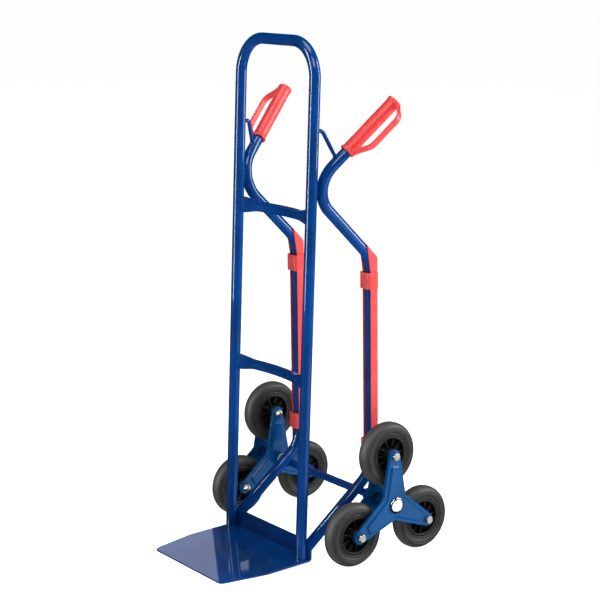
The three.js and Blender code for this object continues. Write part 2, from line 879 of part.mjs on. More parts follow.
const plateGeometry = starPlate();
const hubTube = turnedRing(
  hubTubeDiameter / 2,
  boreRadius(axleRadius, clearance, smallSides),
  hubInnerX - wheelTrack / 2,
  hubOuterX - wheelTrack / 2,
  discSides,
);
const boltGeometry = bolt();
const nutGeometry = nut();
const sleeveGeometry = sleeve();
const tyreGeometry = tyre();
const hubGeometry = wheelHub();

for (const [side, heading] of [['r', 0], ['l', Math.PI]]) {
  const star = new THREE.Group();
  star.rotation.z = heading;
  star.position.copy(axleCentre).setX((side === 'r' ? wheelTrack : -wheelTrack) / 2);
  truck.add(star);
  place(star, `star_plate_outer_${side}`, plateGeometry, starPaint);
  place(star, `star_plate_inner_${side}`, plateGeometry, starPaint).rotation.z = Math.PI;
  place(star, `hub_tube_${side}`, hubTube, starPaint);
  armAngles.forEach((angle, index) => {
    const wheel = new THREE.Group();
    wheel.position.set(0, ...armEnd(angle));
    star.add(wheel);
    const label = `${side}${index + 1}`;
    place(wheel, `wheel_bolt_${label}`, boltGeometry, zinc);
    place(wheel, `wheel_nut_${label}`, nutGeometry, zinc);
    place(wheel, `wheel_sleeve_${label}`, sleeveGeometry, zinc);
    place(wheel, `wheel_hub_${label}`, hubGeometry, blackPlastic);
    place(wheel, `tyre_${label}`, tyreGeometry, rubber);
  });
}

export default truck;
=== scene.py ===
import json
import math

import bmesh
import bpy
from bpy.props import FloatProperty, FloatVectorProperty, IntProperty, PointerProperty
from mathutils import Matrix, Quaternion, Vector


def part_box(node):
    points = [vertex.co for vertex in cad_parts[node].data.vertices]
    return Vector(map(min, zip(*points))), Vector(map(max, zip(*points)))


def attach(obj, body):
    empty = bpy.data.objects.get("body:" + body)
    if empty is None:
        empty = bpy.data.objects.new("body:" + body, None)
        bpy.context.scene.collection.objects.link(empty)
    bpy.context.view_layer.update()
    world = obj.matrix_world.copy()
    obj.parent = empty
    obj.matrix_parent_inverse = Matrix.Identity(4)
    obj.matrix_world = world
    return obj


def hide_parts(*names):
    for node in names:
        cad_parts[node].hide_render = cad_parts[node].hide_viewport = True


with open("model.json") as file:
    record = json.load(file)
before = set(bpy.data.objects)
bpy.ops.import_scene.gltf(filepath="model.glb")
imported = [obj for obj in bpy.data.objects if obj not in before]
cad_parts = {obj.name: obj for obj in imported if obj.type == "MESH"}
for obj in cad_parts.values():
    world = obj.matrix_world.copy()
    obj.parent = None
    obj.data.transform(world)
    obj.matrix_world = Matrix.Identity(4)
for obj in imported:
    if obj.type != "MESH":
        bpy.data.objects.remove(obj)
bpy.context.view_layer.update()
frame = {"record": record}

bl_info = {
    "name": "Stair Climbing Sack Truck",
    "version": (1, 0, 0),
    "blender": (4, 5, 0),
    "location": "View3D > Sidebar > Sack Truck",
    "description": "Builds a tube frame sack truck with two three-wheel stars",
    "category": "Add Mesh",
}

MM = 0.001
X_AXIS = Vector((1, 0, 0))
Y_AXIS = Vector((0, 1, 0))
Z_AXIS = Vector((0, 0, 1))
SIDES = {"r": 1, "l": -1}
GAP = 0.3 * MM
RAIL_EASE = 0.18 * MM
GRIP_END = 3 * MM
WELD_PITCH = 3.4 * MM
RIPPLE_STEPS = 4
TUBE_SIDES = 48


# ---- Sizes and colours ----

def length(name, description, millimetres):
    return FloatProperty(
        name=name, description=description, default=millimetres * MM, unit="LENGTH", precision=4
    )


def angle(name, description, degrees):
    return FloatProperty(
        name=name, description=description, default=math.radians(degrees), unit="ROTATION"
    )


def share(name, description, value):
    return FloatProperty(name=name, description=description, default=value, min=0, max=1)


def colour(name, description, red, green, blue):
    return FloatVectorProperty(
        name=name,
        description=description,
        default=(red, green, blue),
        subtype="COLOR_GAMMA",
        min=0,
        max=1,
    )


class FrameSizes(bpy.types.PropertyGroup):
    tube: length("Tube diameter", "Outside diameter of the frame tubes", 28)
    lean: angle("Lean", "Angle of the uprights from plumb", 2.65)
    hoop_bend: length("Hoop bend", "Centreline radius of the two top corners", 88)
    rear_bend: length("Rear bend", "Centreline radius of the rear tubes' bends", 80)
    rear_setback: length("Rear setback", "Upright to the rear stretch, level with the axle", 220)
    rear_foot: length("Rear tube foot", "Height where a rear tube meets the upstand", 33)
    stretch_top: length("Stretch top", "Height of the corner above the slide rail", 751)
    handle_corner: length("Handle corner", "Height of the corner below the handle", 936)
    slant_rise: angle("Slant rise", "Rise from the slide rail forward to the upright", 45)
    handle_rise: angle("Handle rise", "Rise of the handle above level", 45)
    handle_splay: angle("Handle splay", "Outward angle of the handle", 13.6)
    upper_crossbar: length("Upper crossbar", "Height of the upper crossbar", 866)
    lower_crossbar: length("Lower crossbar", "Height of the lower crossbar", 458)
    crossbar: length("Crossbar diameter", "Diameter at the middle of a crossbar", 26)
    crossbar_bow: length("Crossbar bow", "How far a crossbar curves back", 24)
    crossbar_flare: length("Crossbar flare", "Height of a flattened end", 41)
    crossbar_flat: length("Crossbar flat", "Depth of a flattened end", 9)
    flare_length: length("Flare length", "Length of tube that flattens at each end", 55)
    strut: length("Strut diameter", "Diameter of the handle struts", 10)
    strut_height: length("Strut height", "Height of a strut's upper end", 1076)
    strut_reach: length("Strut reach", "Handle corner to the strut's lower end", 96)
    strut_bend: length("Strut bend", "Bend radius at a strut's upper end", 12)
    weld: length("Weld", "Radius of a weld bead", 2.1)


class PlateSizes(bpy.types.PropertyGroup):
    thickness: length("Thickness", "Thickness of the toe plate", 4)
    plate_length: length("Length", "Upstand to the front edge", 254)
    front_width: length("Front width", "Width along the front edge", 297)
    kink: length("Kink", "Front edge to where the sides start to taper", 125)
    corner: length("Corner", "Radius of the two front corners", 12)
    tilt: angle("Tilt", "Rise of the plate towards the uprights", 1.23)
    upstand: length("Upstand", "Height of the upstand above the plate", 52)
    chamfer: length("Chamfer", "Cut corner at each end of the upstand", 10)
    fold: length("Fold", "Inside radius of the fold", 4)


class GripSizes(bpy.types.PropertyGroup):
    reach: length("Reach", "Handle corner to the grip's closed end", 301)
    grip_length: length("Length", "Length of a grip", 174)
    radius: length("Radius", "Radius of a grip", 17)
    flange: length("Flange", "Radius of the flange at the lower end", 20)
    guard_offset: length("Guard offset", "Grip axis to the middle of the guard", 56)
    guard_width: length("Guard width", "Width of the guard", 18)
    guard_thickness: length("Guard thickness", "Thickness of the guard", 5.5)
    guard_start: length("Guard start", "Grip end to where the guard runs straight", 45)
    guard_end: length("Guard end", "Grip end to where the guard turns back", 142)
    right_twist: angle("Right twist", "Right guard turned round its grip", 7)
    left_twist: angle("Left twist", "Left guard turned round its grip", -1.5)


class RailSizes(bpy.types.PropertyGroup):
    wall: length("Wall", "Wall thickness of a slide rail", 2)
    bottom: length("Bottom", "Height of a rail's lower end", 180)
    top: length("Top", "Height where a rail's sloping top starts", 745)
    front: length("Front", "Side walls ahead of the tube's centre", 11)
    back: length("Back", "Back face behind the tube's centre", 17)
    corner: length("Corner", "Radius of a rail's back corners", 11.5)
    beak: length("Beak", "Height of the sloping top", 42)
    beak_reach: length("Beak reach", "Tip of the sloping top ahead of the tube's centre", 22)
    clip_height: length("Clip height", "Height of a clip", 42)
    clip_wall: length("Clip wall", "Wall thickness of a clip", 3)
    clip_lower: length("Lower clip", "Height of the lower clips", 262)
    clip_upper: length("Upper clip", "Height of the upper clips", 693)


class StarSizes(bpy.types.PropertyGroup):
    width: length("Width", "Width over the arms", 70)
    sheet: length("Sheet", "Thickness of the pressed plates", 3)
    flange: length("Flange", "Depth of the turned-in edge", 9)
    arm_end: length("Arm end", "Radius of an arm's end", 17)
    valley: length("Valley", "Centre to the edge between two arms", 41)
    edge_round: length("Edge round", "Outside radius of the turned edge", 3)
    border: length("Border", "Edge to the foot of the raised panel", 8)
    rise: length("Rise", "Height of the raised panel", 4)
    panel_reach: length("Panel reach", "Centre to the end of the raised panel", 101)
    head_width: length("Bolt head", "Width across flats of heads and nuts", 19)
    head_height: length("Head height", "Height of a bolt head", 7.5)
    bolt: length("Bolt", "Diameter of the wheel bolts", 12)
    nut_height: length("Nut height", "Height of a nut", 12)
    tail: length("Tail", "Wheel middle to the end of a bolt", 50)
    axle: length("Axle", "Diameter of the axle", 20)


class WheelSizes(bpy.types.PropertyGroup):
    radius: length("Radius", "Radius of a tyre", 81)
    tyre_width: length("Tyre width", "Width of a tyre", 40)
    bore: length("Bore", "Radius of a tyre's seat on its hub", 50)
    rim_width: length("Rim width", "Width of a hub's rim", 34)
    rim_inner: length("Rim inside", "Inside radius of a hub's rim", 42)
    boss: length("Boss", "Radius of a hub's boss", 17)
    boss_half: length("Boss half", "Half the length of a hub's boss", 24)
    neck: length("Neck", "Radius of a hub's neck", 13)
    neck_half: length("Neck half", "Half the length over the necks", 30.9)
    web: length("Web", "Thickness of a hub's web", 5)
    rib: length("Rib", "Thickness of a rib", 1.8)
    ribs: IntProperty(name="Ribs", description="Ribs on each side of a hub", default=10, min=3)


class Finishes(bpy.types.PropertyGroup):
    frame_blue: colour("Frame blue", "Gentian blue powder coat", 0.0, 0.235, 0.50)
    star_blue: colour("Star blue", "Lighter blue of the stars", 0.0, 0.28, 0.50)
    grip_red: colour("Plastic red", "Red of grips, rails and clips", 0.92, 0.23, 0.23)
    rubber: colour("Rubber", "Dark grey of the tyres", 0.18, 0.185, 0.18)
    hub_black: colour("Hub black", "Black of the wheel hubs", 0.07, 0.07, 0.075)
    zinc: colour("Zinc", "Bright plated fasteners", 0.88, 0.88, 0.86)
    chrome: colour("Chrome", "Polished end caps", 0.95, 0.95, 0.95)
    paint_gloss: share("Paint gloss", "Strength of the clear top layer", 0.9)


class StageSettings(bpy.types.PropertyGroup):
    azimuth: angle("Azimuth", "Direction the camera looks from", 53.17)
    elevation: angle("Elevation", "Height of the camera above level", 12.37)
    roll: angle("Roll", "Turn of the camera about its own axis", -0.49)
    distance: FloatProperty(name="Distance", description="Camera to target", default=4.0577)
    lens: FloatProperty(name="Lens", description="Focal length", default=101.0, unit="CAMERA")
    target: FloatVectorProperty(
        name="Target", description="Point looked at", default=(0.1595, -0.075, 0.6734)
    )
    floor: colour("Floor", "Colour of the floor", 0.97, 0.97, 0.97)
    floor_glow: FloatProperty(name="Floor glow", description="Light of its own", default=1.06)
    sky: FloatProperty(name="Sky", description="Brightness above the horizon", default=1.06)


class TruckSettings(bpy.types.PropertyGroup):
    frame: PointerProperty(type=FrameSizes)
    plate: PointerProperty(type=PlateSizes)
    grip: PointerProperty(type=GripSizes)
    rail: PointerProperty(type=RailSizes)
    star: PointerProperty(type=StarSizes)
    wheel: PointerProperty(type=WheelSizes)
    finish: PointerProperty(type=Finishes)
    stage: PointerProperty(type=StageSettings)


# ---- Shader expressions ----

class Expr:
    """A shader socket; arithmetic on it adds Math nodes."""

    def __init__(self, finish, socket):
        self.finish = finish
        self.socket = socket

    def math(self, operation, *values, clamp=False):
        settings = {"operation": operation, "use_clamp": clamp}
        return self.finish.node("ShaderNodeMath", settings, dict(enumerate(values)))[0]

    def __add__(self, other):
        return self.math("ADD", self, other)

    def __radd__(self, other):
        return self.math("ADD", other, self)

    def __sub__(self, other):
        return self.math("SUBTRACT", self, other)

    def __rsub__(self, other):
        return self.math("SUBTRACT", other, self)

    def __mul__(self, other):
        return self.math("MULTIPLY", self, other)

    def __rmul__(self, other):
        return self.math("MULTIPLY", other, self)

    def __truediv__(self, other):
        return self.math("DIVIDE", self, other)

    def __rtruediv__(self, other):
        return self.math("DIVIDE", other, self)

    def __pow__(self, other):
        return self.math("POWER", self, other)

    def clamped(self):
        return self.math("ADD", self, 0.0, clamp=True)

    def sine(self):
        return self.math("SINE", self)

    def step(self, low, high):
        """0 below low, 1 above high, smooth between them."""
        settings = {"interpolation_type": "SMOOTHSTEP"}
        inputs = {"Value": self, "From Min": low, "From Max": high}
        return self.finish.node("ShaderNodeMapRange", settings, inputs)[0]


class Finish:
    """A material and the one method that adds nodes to it."""

    def __init__(self, name):
        self.material = bpy.data.materials.new(name)
        self.material.use_nodes = True
        self.tree = self.material.node_tree
        self.tree.nodes.clear()
        coordinates = self.node("ShaderNodeTexCoord")
        self.place = coordinates[3]

    def node(self, kind, settings=None, inputs=None):
        """Adds a node: settings first, then values or links; returns its outputs."""
        node = self.tree.nodes.new(kind)
        for key, value in (settings or {}).items():
            if key == "stops":
                self.set_stops(node.color_ramp, value)
            else:
                setattr(node, key, value)
        for key, value in (inputs or {}).items():
            if isinstance(value, Expr):
                self.tree.links.new(value.socket, node.inputs[key])
            else:
                node.inputs[key].default_value = value
        return [Expr(self, output) for output in node.outputs]

    def set_stops(self, ramp, stops):
        while len(ramp.elements) < len(stops):
            ramp.elements.new(1.0)
        for element, (position, tint) in zip(ramp.elements, stops):
            element.position = position
            element.color = tint

    def noise(self, scale, detail=3.0, roughness=0.5, where=None, stretch=None):
        where = where or self.place
        if stretch:
            inputs = {0: where, 1: stretch}
            where = self.node("ShaderNodeVectorMath", {"operation": "MULTIPLY"}, inputs)[0]
        inputs = {"Vector": where, "Scale": scale, "Detail": detail, "Roughness": roughness}
        return self.node("ShaderNodeTexNoise", None, inputs)[0]

    def mix(self, factor, first, second):
        """Blends two colours."""
        inputs = {0: factor, 6: first, 7: second}
        return self.node("ShaderNodeMix", {"data_type": "RGBA"}, inputs)[2]

    def bump(self, height, distance, strength=1.0):
        inputs = {"Height": height, "Distance": distance, "Strength": strength}
        return self.node("ShaderNodeBump", None, inputs)[0]

    def axes(self):
        """The x, y and z of the place on the piece."""
        return self.node("ShaderNodeSeparateXYZ", None, {0: self.place})

    def shine(self, inputs):
        """Ends the material in a Principled shader with these inputs."""
        shader = self.node("ShaderNodeBsdfPrincipled", None, inputs)[0]
        self.node("ShaderNodeOutputMaterial", None, {"Surface": shader})
        return self.material


def linear(tint, factor=1.0):
    """A display colour as the linear colour shaders use, made lighter or darker."""
    channels = [
        c / 12.92 if c <= 0.04045 else ((c + 0.055) / 1.055) ** 2.4
        for c in (min(1.0, t * factor) for t in tint)
    ]
    return (*channels, 1.0)


def powder_coat(name, tint, gloss):
    """Gloss powder coat: faint orange peel, cloudy depth and a few rubbed, dusty places."""
    finish = Finish(name)
    cloud = finish.noise(9.0, 3.0)
    scuff = finish.noise(34.0, 6.0, 0.7).step(0.60, 0.74)
    scratch = finish.noise(60.0, 2.0, 0.6, stretch=(9.0, 9.0, 0.7)).step(0.66, 0.70)
    wear = (scuff * 0.35 + scratch * 0.4).clamped()
    peel = finish.noise(150.0, 2.0, 0.4)
    body = finish.mix(cloud.step(0.3, 0.7), linear(tint, 0.90), linear(tint, 1.08))
    dusty = finish.mix(wear * 0.28, body, linear((0.45, 0.53, 0.68)))
    return finish.shine({
        "Base Color": dusty,
        "Roughness": 0.32 + wear * 0.2 + cloud * 0.05,
        "Specular IOR Level": 0.05,
        "Coat Weight": gloss - wear * 0.3,
        "Coat Roughness": 0.03,
        "Coat IOR": 1.42,
        "Normal": finish.bump(peel, 0.00002, 0.25),
    })


def moulded_plastic(name, tint):
    """Semi-gloss moulded plastic: fine spark grain, flow marks and handling haze."""
    finish = Finish(name)
    flow = finish.noise(16.0, 4.0, 0.6, stretch=(1.0, 1.0, 0.35))
    haze = finish.noise(55.0, 5.0, 0.65).step(0.48, 0.72)
    grain = finish.noise(1500.0, 1.0, 0.4)
    body = finish.mix(flow.step(0.3, 0.7), linear(tint, 0.95), linear(tint, 1.03))
    hazy = finish.mix(haze * 0.10, body, linear((1.0, 0.62, 0.60)))
    return finish.shine({
        "Base Color": hazy,
        "Roughness": 0.36 + haze * 0.12 + grain * 0.04,
        "Specular IOR Level": 0.5,
        "Normal": finish.bump(grain + flow * 0.6, 0.00001, 0.2),
    })


def plated_steel(name, tint):
    """Bright zinc plating: crystal mottling and a slight blue and yellow passivation."""
    finish = Finish(name)
    spangle = finish.node(
        "ShaderNodeTexVoronoi", {"feature": "F1"}, {"Vector": finish.place, "Scale": 600.0}
    )[0]
    tone = finish.noise(130.0, 3.0)
    body = finish.mix(tone.step(0.35, 0.65), linear(tint), linear((0.80, 0.79, 0.70)))
    return finish.shine({
        "Base Color": body,
        "Metallic": 0.94 + tone * 0.05,
        "Roughness": 0.20 + spangle * 0.12 + tone * 0.08,
        "Normal": finish.bump(spangle, 0.00005, 0.4),
    })


def polished_chrome(name, tint):
    """Polished chrome with hairline marks and a few dull specks."""
    finish = Finish(name)
    hair = finish.noise(240.0, 3.0, 0.5, stretch=(1.0, 6.0, 0.5))
    speck = finish.noise(420.0, 2.0, 0.6).step(0.66, 0.74)
    body = finish.mix(speck * 0.3, linear(tint), linear(tint, 0.8))
    return finish.shine({
        "Base Color": body,
        "Metallic": 1.0,
        "Roughness": 0.06 + hair * 0.05 + speck * 0.10,
        "Normal": finish.bump(hair, 0.00002, 0.35),
    })


def hub_plastic(name, tint):
    """Black glass-filled plastic: mottled sheen and fine fibre grain."""
    finish = Finish(name)
    mottle = finish.noise(70.0, 5.0, 0.65)
    grain = finish.noise(1200.0, 2.0, 0.5)
    body = finish.mix(mottle.step(0.4, 0.7), linear(tint, 0.8), linear(tint, 1.6))
    return finish.shine({
        "Base Color": body,
        "Roughness": 0.36 + mottle * 0.18,
        "Specular IOR Level": 0.5,
        "Normal": finish.bump(grain, 0.00007, 0.5),
    })


def tyre_rubber(name, tint, outer_radius):
    """Solid rubber: turned rings, a dustier tread, and blotches of bloom."""
    finish = Finish(name)
    x, y, z = finish.axes()
    radius = (y * y + z * z) ** 0.5
    rings = (radius * 5200.0 + x * 900.0).sine()
    bloom = finish.noise(38.0, 6.0, 0.7)
    grit = finish.noise(900.0, 3.0, 0.6)
    tread = radius.step(outer_radius - 0.010, outer_radius - 0.001)
    body = finish.mix(bloom.step(0.35, 0.7), linear(tint, 0.88), linear(tint, 1.10))
    dusty = finish.mix(tread * grit * 0.35, body, linear((0.46, 0.45, 0.43)))
    return finish.shine({
        "Base Color": dusty,
        "Roughness": 0.40 + bloom * 0.16 + tread * 0.08,
        "Specular IOR Level": 0.5,
        "Normal": finish.bump(grit * 0.8 + rings * 0.12, 0.00012, 0.6),
    })


finishes = {}


def finish_for(slot):
    """The material of a slot, made the first time it is asked for."""
    settings = bpy.context.scene.sack_truck
    tints = settings.finish
    makers = {
        "blue_paint": lambda: powder_coat(slot, tints.frame_blue, tints.paint_gloss),
        "star_paint": lambda: powder_coat(slot, tints.star_blue, 0.5 * tints.paint_gloss),
        "red_plastic": lambda: moulded_plastic(slot, tints.grip_red),
        "zinc_steel": lambda: plated_steel(slot, tints.zinc),
        "chrome_cap": lambda: polished_chrome(slot, tints.chrome),
        "hub_plastic": lambda: hub_plastic(slot, tints.hub_black),
        "tyre_rubber": lambda: tyre_rubber(slot, tints.rubber, settings.wheel.radius),
    }
    if slot not in finishes:
        finishes[slot] = makers[slot]()
    return finishes[slot]


# ---- Shapes ----

def circle(radius, count, start=0.0):
    """Points round a circle, as pairs."""
    turns = [start + math.tau * i / count for i in range(count)]
    return [(radius * math.cos(turn), radius * math.sin(turn)) for turn in turns]


def bent_path(points, radius, steps=20):
    """Stations (point, direction) along straight stretches joined by arcs."""
    stations = [(points[0], (points[1] - points[0]).normalized())]
    for before, corner, after in zip(points, points[1:], points[2:]):
        arriving = (corner - before).normalized()
        leaving = (after - corner).normalized()
        bend = arriving.angle(leaving)
        start = corner - arriving * radius * math.tan(bend / 2)
        inward = (leaving - arriving).normalized()
        centre = corner + inward * radius / math.cos(bend / 2)
        axis = arriving.cross(leaving).normalized()
        for step in range(steps + 1):
            turn = Quaternion(axis, bend * step / steps)
            stations.append((centre + turn @ (start - centre), turn @ arriving))
    stations.append((points[-1], (points[-1] - points[-2]).normalized()))
    return stations


def onto_tube(point, direction, axis_point, axis, radius):
    """Where a line first meets a round tube."""
    across = direction - axis * direction.dot(axis)
    offset = point - axis_point
    offset = offset - axis * offset.dot(axis)
    a = across.length_squared
    b = 2 * across.dot(offset)
    c = offset.length_squared - radius * radius
    inside = max(0.0, b * b - 4 * a * c)
    return point + direction * ((-b - math.sqrt(inside)) / (2 * a))


class Shape:
    """A mesh in the making, from rings of points joined by faces."""

    def __init__(self):
        self.bm = bmesh.new()

    def ring(self, points):
        return [self.bm.verts.new(point) for point in points]

    def bridge(self, first, second):
        """Joins two rings; a ring of one point makes a fan, and two points make nothing."""
        count = max(len(first), len(second))
        if count == 1:
            return
        for i in range(count):
            j = (i + 1) % count
            corners = [first[i % len(first)], first[j % len(first)]]
            corners += [second[j % len(second)], second[i % len(second)]]
            self.bm.faces.new(dict.fromkeys(corners))

    def loft(self, rings, closed=False):
        """Joins rings in order, then caps the ends or joins them up."""
        made = [self.ring(points) for points in rings]
        for first, second in zip(made, made[1:]):
            self.bridge(first, second)
        if closed:
            self.bridge(made[-1], made[0])
        else:
            for end in (made[0], made[-1]):
                if len(end) > 2:
                    self.bm.faces.new(end)
        return self

    def sweep(self, stations, outline, side=X_AXIS, closed=False):
        """Carries an outline along stations; it may be a list or depend on the station."""
        rings = []
        for index, (point, direction) in enumerate(stations):
            side = (side - direction * side.dot(direction)).normalized()
            up = direction.cross(side)
            section = outline(index) if callable(outline) else outline
            rings.append([point + side * a + up * b for a, b in section])
        return self.loft(rings, closed)

    def turn(self, profile, count=96, closed=False):
        """Turns a profile of (radius, x) pairs about the x axis."""
        rings = []
        for radius, x in profile:
            if radius < 1e-7:
                rings.append([Vector((x, 0, 0))])
            else:
                rings.append([Vector((x, a, b)) for a, b in circle(radius, count)])
        return self.loft(rings, closed)

    def trim(self, point, normal):
        """Cuts off what lies beyond a plane and closes the cut."""
        parts = [*self.bm.verts, *self.bm.edges, *self.bm.faces]
        cut = bmesh.ops.bisect_plane(
            self.bm, geom=parts, plane_co=point, plane_no=normal, clear_outer=True
        )
        rim = [part for part in cut["geom_cut"] if isinstance(part, bmesh.types.BMEdge)]
        bmesh.ops.holes_fill(self.bm, edges=rim, sides=0)
        return self

    def transform(self, matrix):
        self.bm.transform(matrix)
        return self

    def mesh(self, name):
        bmesh.ops.recalc_face_normals(self.bm, faces=self.bm.faces)
        mesh = bpy.data.meshes.new(name)
        self.bm.to_mesh(mesh)
        self.bm.free()
        mesh.shade_smooth()
        return mesh


def add_object(name, mesh):
    piece = bpy.data.objects.new(name, mesh)
    bpy.context.scene.collection.objects.link(piece)
    return piece


def add_modifier(piece, kind, **settings):
    modifier = piece.modifiers.new(kind.title(), kind)
    for key, value in settings.items():
        setattr(modifier, key, value)
    return modifier


def apply_modifiers(piece):
    """Puts the result of the modifiers into the mesh."""
    bpy.context.view_layer.update()
    graph = bpy.context.evaluated_depsgraph_get()
    mesh = bpy.data.meshes.new_from_object(piece.evaluated_get(graph))
    piece.modifiers.clear()
    piece.data = mesh
    return piece


def combine(piece, tools, operation):
    """Joins or cuts a piece with other shapes, which are used up."""
    for tool in tools:
        add_modifier(piece, "BOOLEAN", object=tool, operation=operation, solver="EXACT")
    apply_modifiers(piece)
    for tool in tools:
        bpy.data.objects.remove(tool)
    return piece


def round_edges(piece, radius, limit=30, segments=3):
    add_modifier(
        piece,
        "BEVEL",
        width=radius,
        segments=segments,
        limit_method="ANGLE",
        angle_limit=math.radians(limit),
        use_clamp_overlap=True,
    )
    return apply_modifiers(piece)


def finish_piece(piece, slot, body, nodes):
    """Gives a piece its material and body, and hides the CAD nodes it stands for."""
    piece.data.materials.clear()
    piece.data.materials.append(finish_for(slot))
    piece.data.shade_smooth()
    add_modifier(piece, "WEIGHTED_NORMAL", keep_sharp=True, weight=60)
    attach(piece, body)
    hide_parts(*nodes)
    return piece


def mirrored_mesh(mesh, name):
    copy = mesh.copy()
    copy.name = name
    copy.transform(Matrix.Scale(-1, 4, X_AXIS))
    copy.flip_normals()
    return copy


def finish_pair(name, right, slot):
    """Finishes the right piece and adds its mirror image on the left."""
    left = add_object(f"{name}_left", mirrored_mesh(right.data, f"{name}_left"))
    finish_piece(right, slot, "frame", [f"{name}_r"])
    finish_piece(left, slot, "frame", [f"{name}_l"])


def weld_bead(points, radius):
    """A rippled bead along closed points, half sunk into the joint."""
    spans = [(b - a).length for a, b in zip(points, points[1:] + points[:1])]
    ripples = max(6, round(sum(spans) / WELD_PITCH))
    steps = ripples * RIPPLE_STEPS
    stations = []
    for step in range(steps):
        walked = sum(spans) * step / steps
        index = 0
        while walked > spans[index] and index < len(spans) - 1:
            walked -= spans[index]
            index += 1
        after = points[(index + 1) % len(points)]
        stations.append(points[index].lerp(after, walked / spans[index]))
    placed = []
    for index, point in enumerate(stations):
        ahead = stations[(index + 1) % steps] - stations[index - 1]
        placed.append((point, ahead.normalized()))

    def section(index):
        phase = (index % RIPPLE_STEPS) / RIPPLE_STEPS
        swell = radius * (0.82 + 0.22 * math.sin(math.pi * phase))
        return circle(swell, 8)

    side = placed[0][1].orthogonal()
    return Shape().sweep(placed, section, side, closed=True)


# ---- Places shared by several pieces ----

class Layout:
    """Lines and points of the frame, from the CAD boxes, its joints and the sizes."""

    def __init__(self, settings):
        sizes = settings.frame
        plate = settings.plate
        self.sizes = sizes
        self.radius = sizes.tube / 2
        self.lean = math.tan(sizes.lean)
        self.plate_lo, self.plate_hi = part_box("toe_plate")
        hoop_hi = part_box("main_hoop")[1]
        self.upright_x = hoop_hi.x - self.radius
        self.top = hoop_hi.z - self.radius
        self.front_y = self.plate_lo.y
        self.upstand_front = self.front_y + plate.plate_length
        self.foot_y = self.upstand_front - self.radius / math.cos(sizes.lean) - GAP
        self.upstand_back = self.upstand_front + plate.thickness
        self.slope = math.tan(plate.tilt)
        self.thickness = plate.thickness
        self.joints = {
            joint["name"]: Vector(joint["pos_m"])
            for joint in frame["record"]["behaviour"]["joints"]
        }
        axle = self.joints["star_r_turn"]
        self.axle = Vector((0, axle.y, axle.z))
        self.axle_radius = settings.star.axle / 2
        self.upright_axis = Vector((0, math.sin(sizes.lean), math.cos(sizes.lean)))
        self.make_rear_tube()

    def upright(self, z, side=1):
        return Vector((side * self.upright_x, self.foot_y + z * self.lean, z))

    def plate_top(self, y):
        return (y - self.front_y) * self.slope + self.thickness

    def make_rear_tube(self):
        sizes = self.sizes
        foot = Vector((0, self.upstand_back, sizes.rear_foot))
        offset = self.radius + self.axle_radius + GAP
        to_axle = self.axle - foot
        slant = math.atan2(to_axle.z, to_axle.y) + math.asin(offset / to_axle.length)
        x = self.upright_x
        rear_y = self.upright(self.axle.z).y + sizes.rear_setback
        rise = math.tan(slant)
        self.slant = Vector((0, math.cos(slant), math.sin(slant)))
        self.foot = Vector((x, foot.y, foot.z))
        entry = Vector((x, foot.y - 0.03, foot.z - 0.03 * rise))
        self.lower = Vector((x, rear_y, foot.z + (rear_y - foot.y) * rise))
        level = math.cos(sizes.handle_splay)
        self.handle = Vector((
            math.sin(sizes.handle_splay),
            level * math.cos(sizes.handle_rise),
            level * math.sin(sizes.handle_rise),
        ))
        forward = Vector((0, -math.cos(sizes.slant_rise), math.sin(sizes.slant_rise)))
        bend = forward.angle(self.handle)
        depth = sizes.rear_bend * (1 / math.cos(bend / 2) - 1)
        corner_y = self.upright(sizes.handle_corner).y + sizes.tube + GAP - depth
        self.corner = Vector((x, corner_y, sizes.handle_corner))
        drop = sizes.handle_corner - sizes.stretch_top
        upper_y = corner_y + drop / math.tan(sizes.slant_rise)
        self.upper = Vector((x, upper_y, sizes.stretch_top))
        self.rear_points = [entry, self.lower, self.upper, self.corner]
        run = self.upper - self.lower
        self.rail_lean = math.atan2(-run.y, run.z)

    def rear(self, z):
        """The rear stretch's centre at a height."""
        share_up = (z - self.lower.z) / (self.upper.z - self.lower.z)
        return self.lower.lerp(self.upper, share_up)


def layout():
    return Layout(bpy.context.scene.sack_truck)


def settings():
    return bpy.context.scene.sack_truck


# ---- Frame pieces ----

def build_hoop():
    here = layout()
    low = -0.03
    points = [here.upright(low, -1), here.upright(here.top, -1)]
    points += [here.upright(here.top), here.upright(low)]
    stations = bent_path(points, here.sizes.hoop_bend, 28)
    hoop = Shape().sweep(stations, circle(here.radius, TUBE_SIDES), Y_AXIS)
    base = Vector((0, here.front_y, here.thickness + GAP))
    hoop.trim(base, Vector((0, here.slope, -1)))
    piece = add_object("hoop", hoop.mesh("hoop"))
    finish_piece(round_edges(piece, 0.6 * MM, 50, 2), "blue_paint", "frame", ["main_hoop"])


def build_rear_tubes():
    here = layout()
    reach = settings().grip.reach - GRIP_END - GAP
    points = [*here.rear_points, here.corner + here.handle * reach]
    stations = bent_path(points, here.sizes.rear_bend, 24)
    tube = Shape().sweep(stations, circle(here.radius, TUBE_SIDES), X_AXIS)
    back = Vector((0, here.upstand_back + GAP, 0))
    tube.trim(back, Vector((0, -1, here.lean)))
    finish_pair("rear_tube", add_object("rear_tube_right", tube.mesh("rear_tube")), "blue_paint")


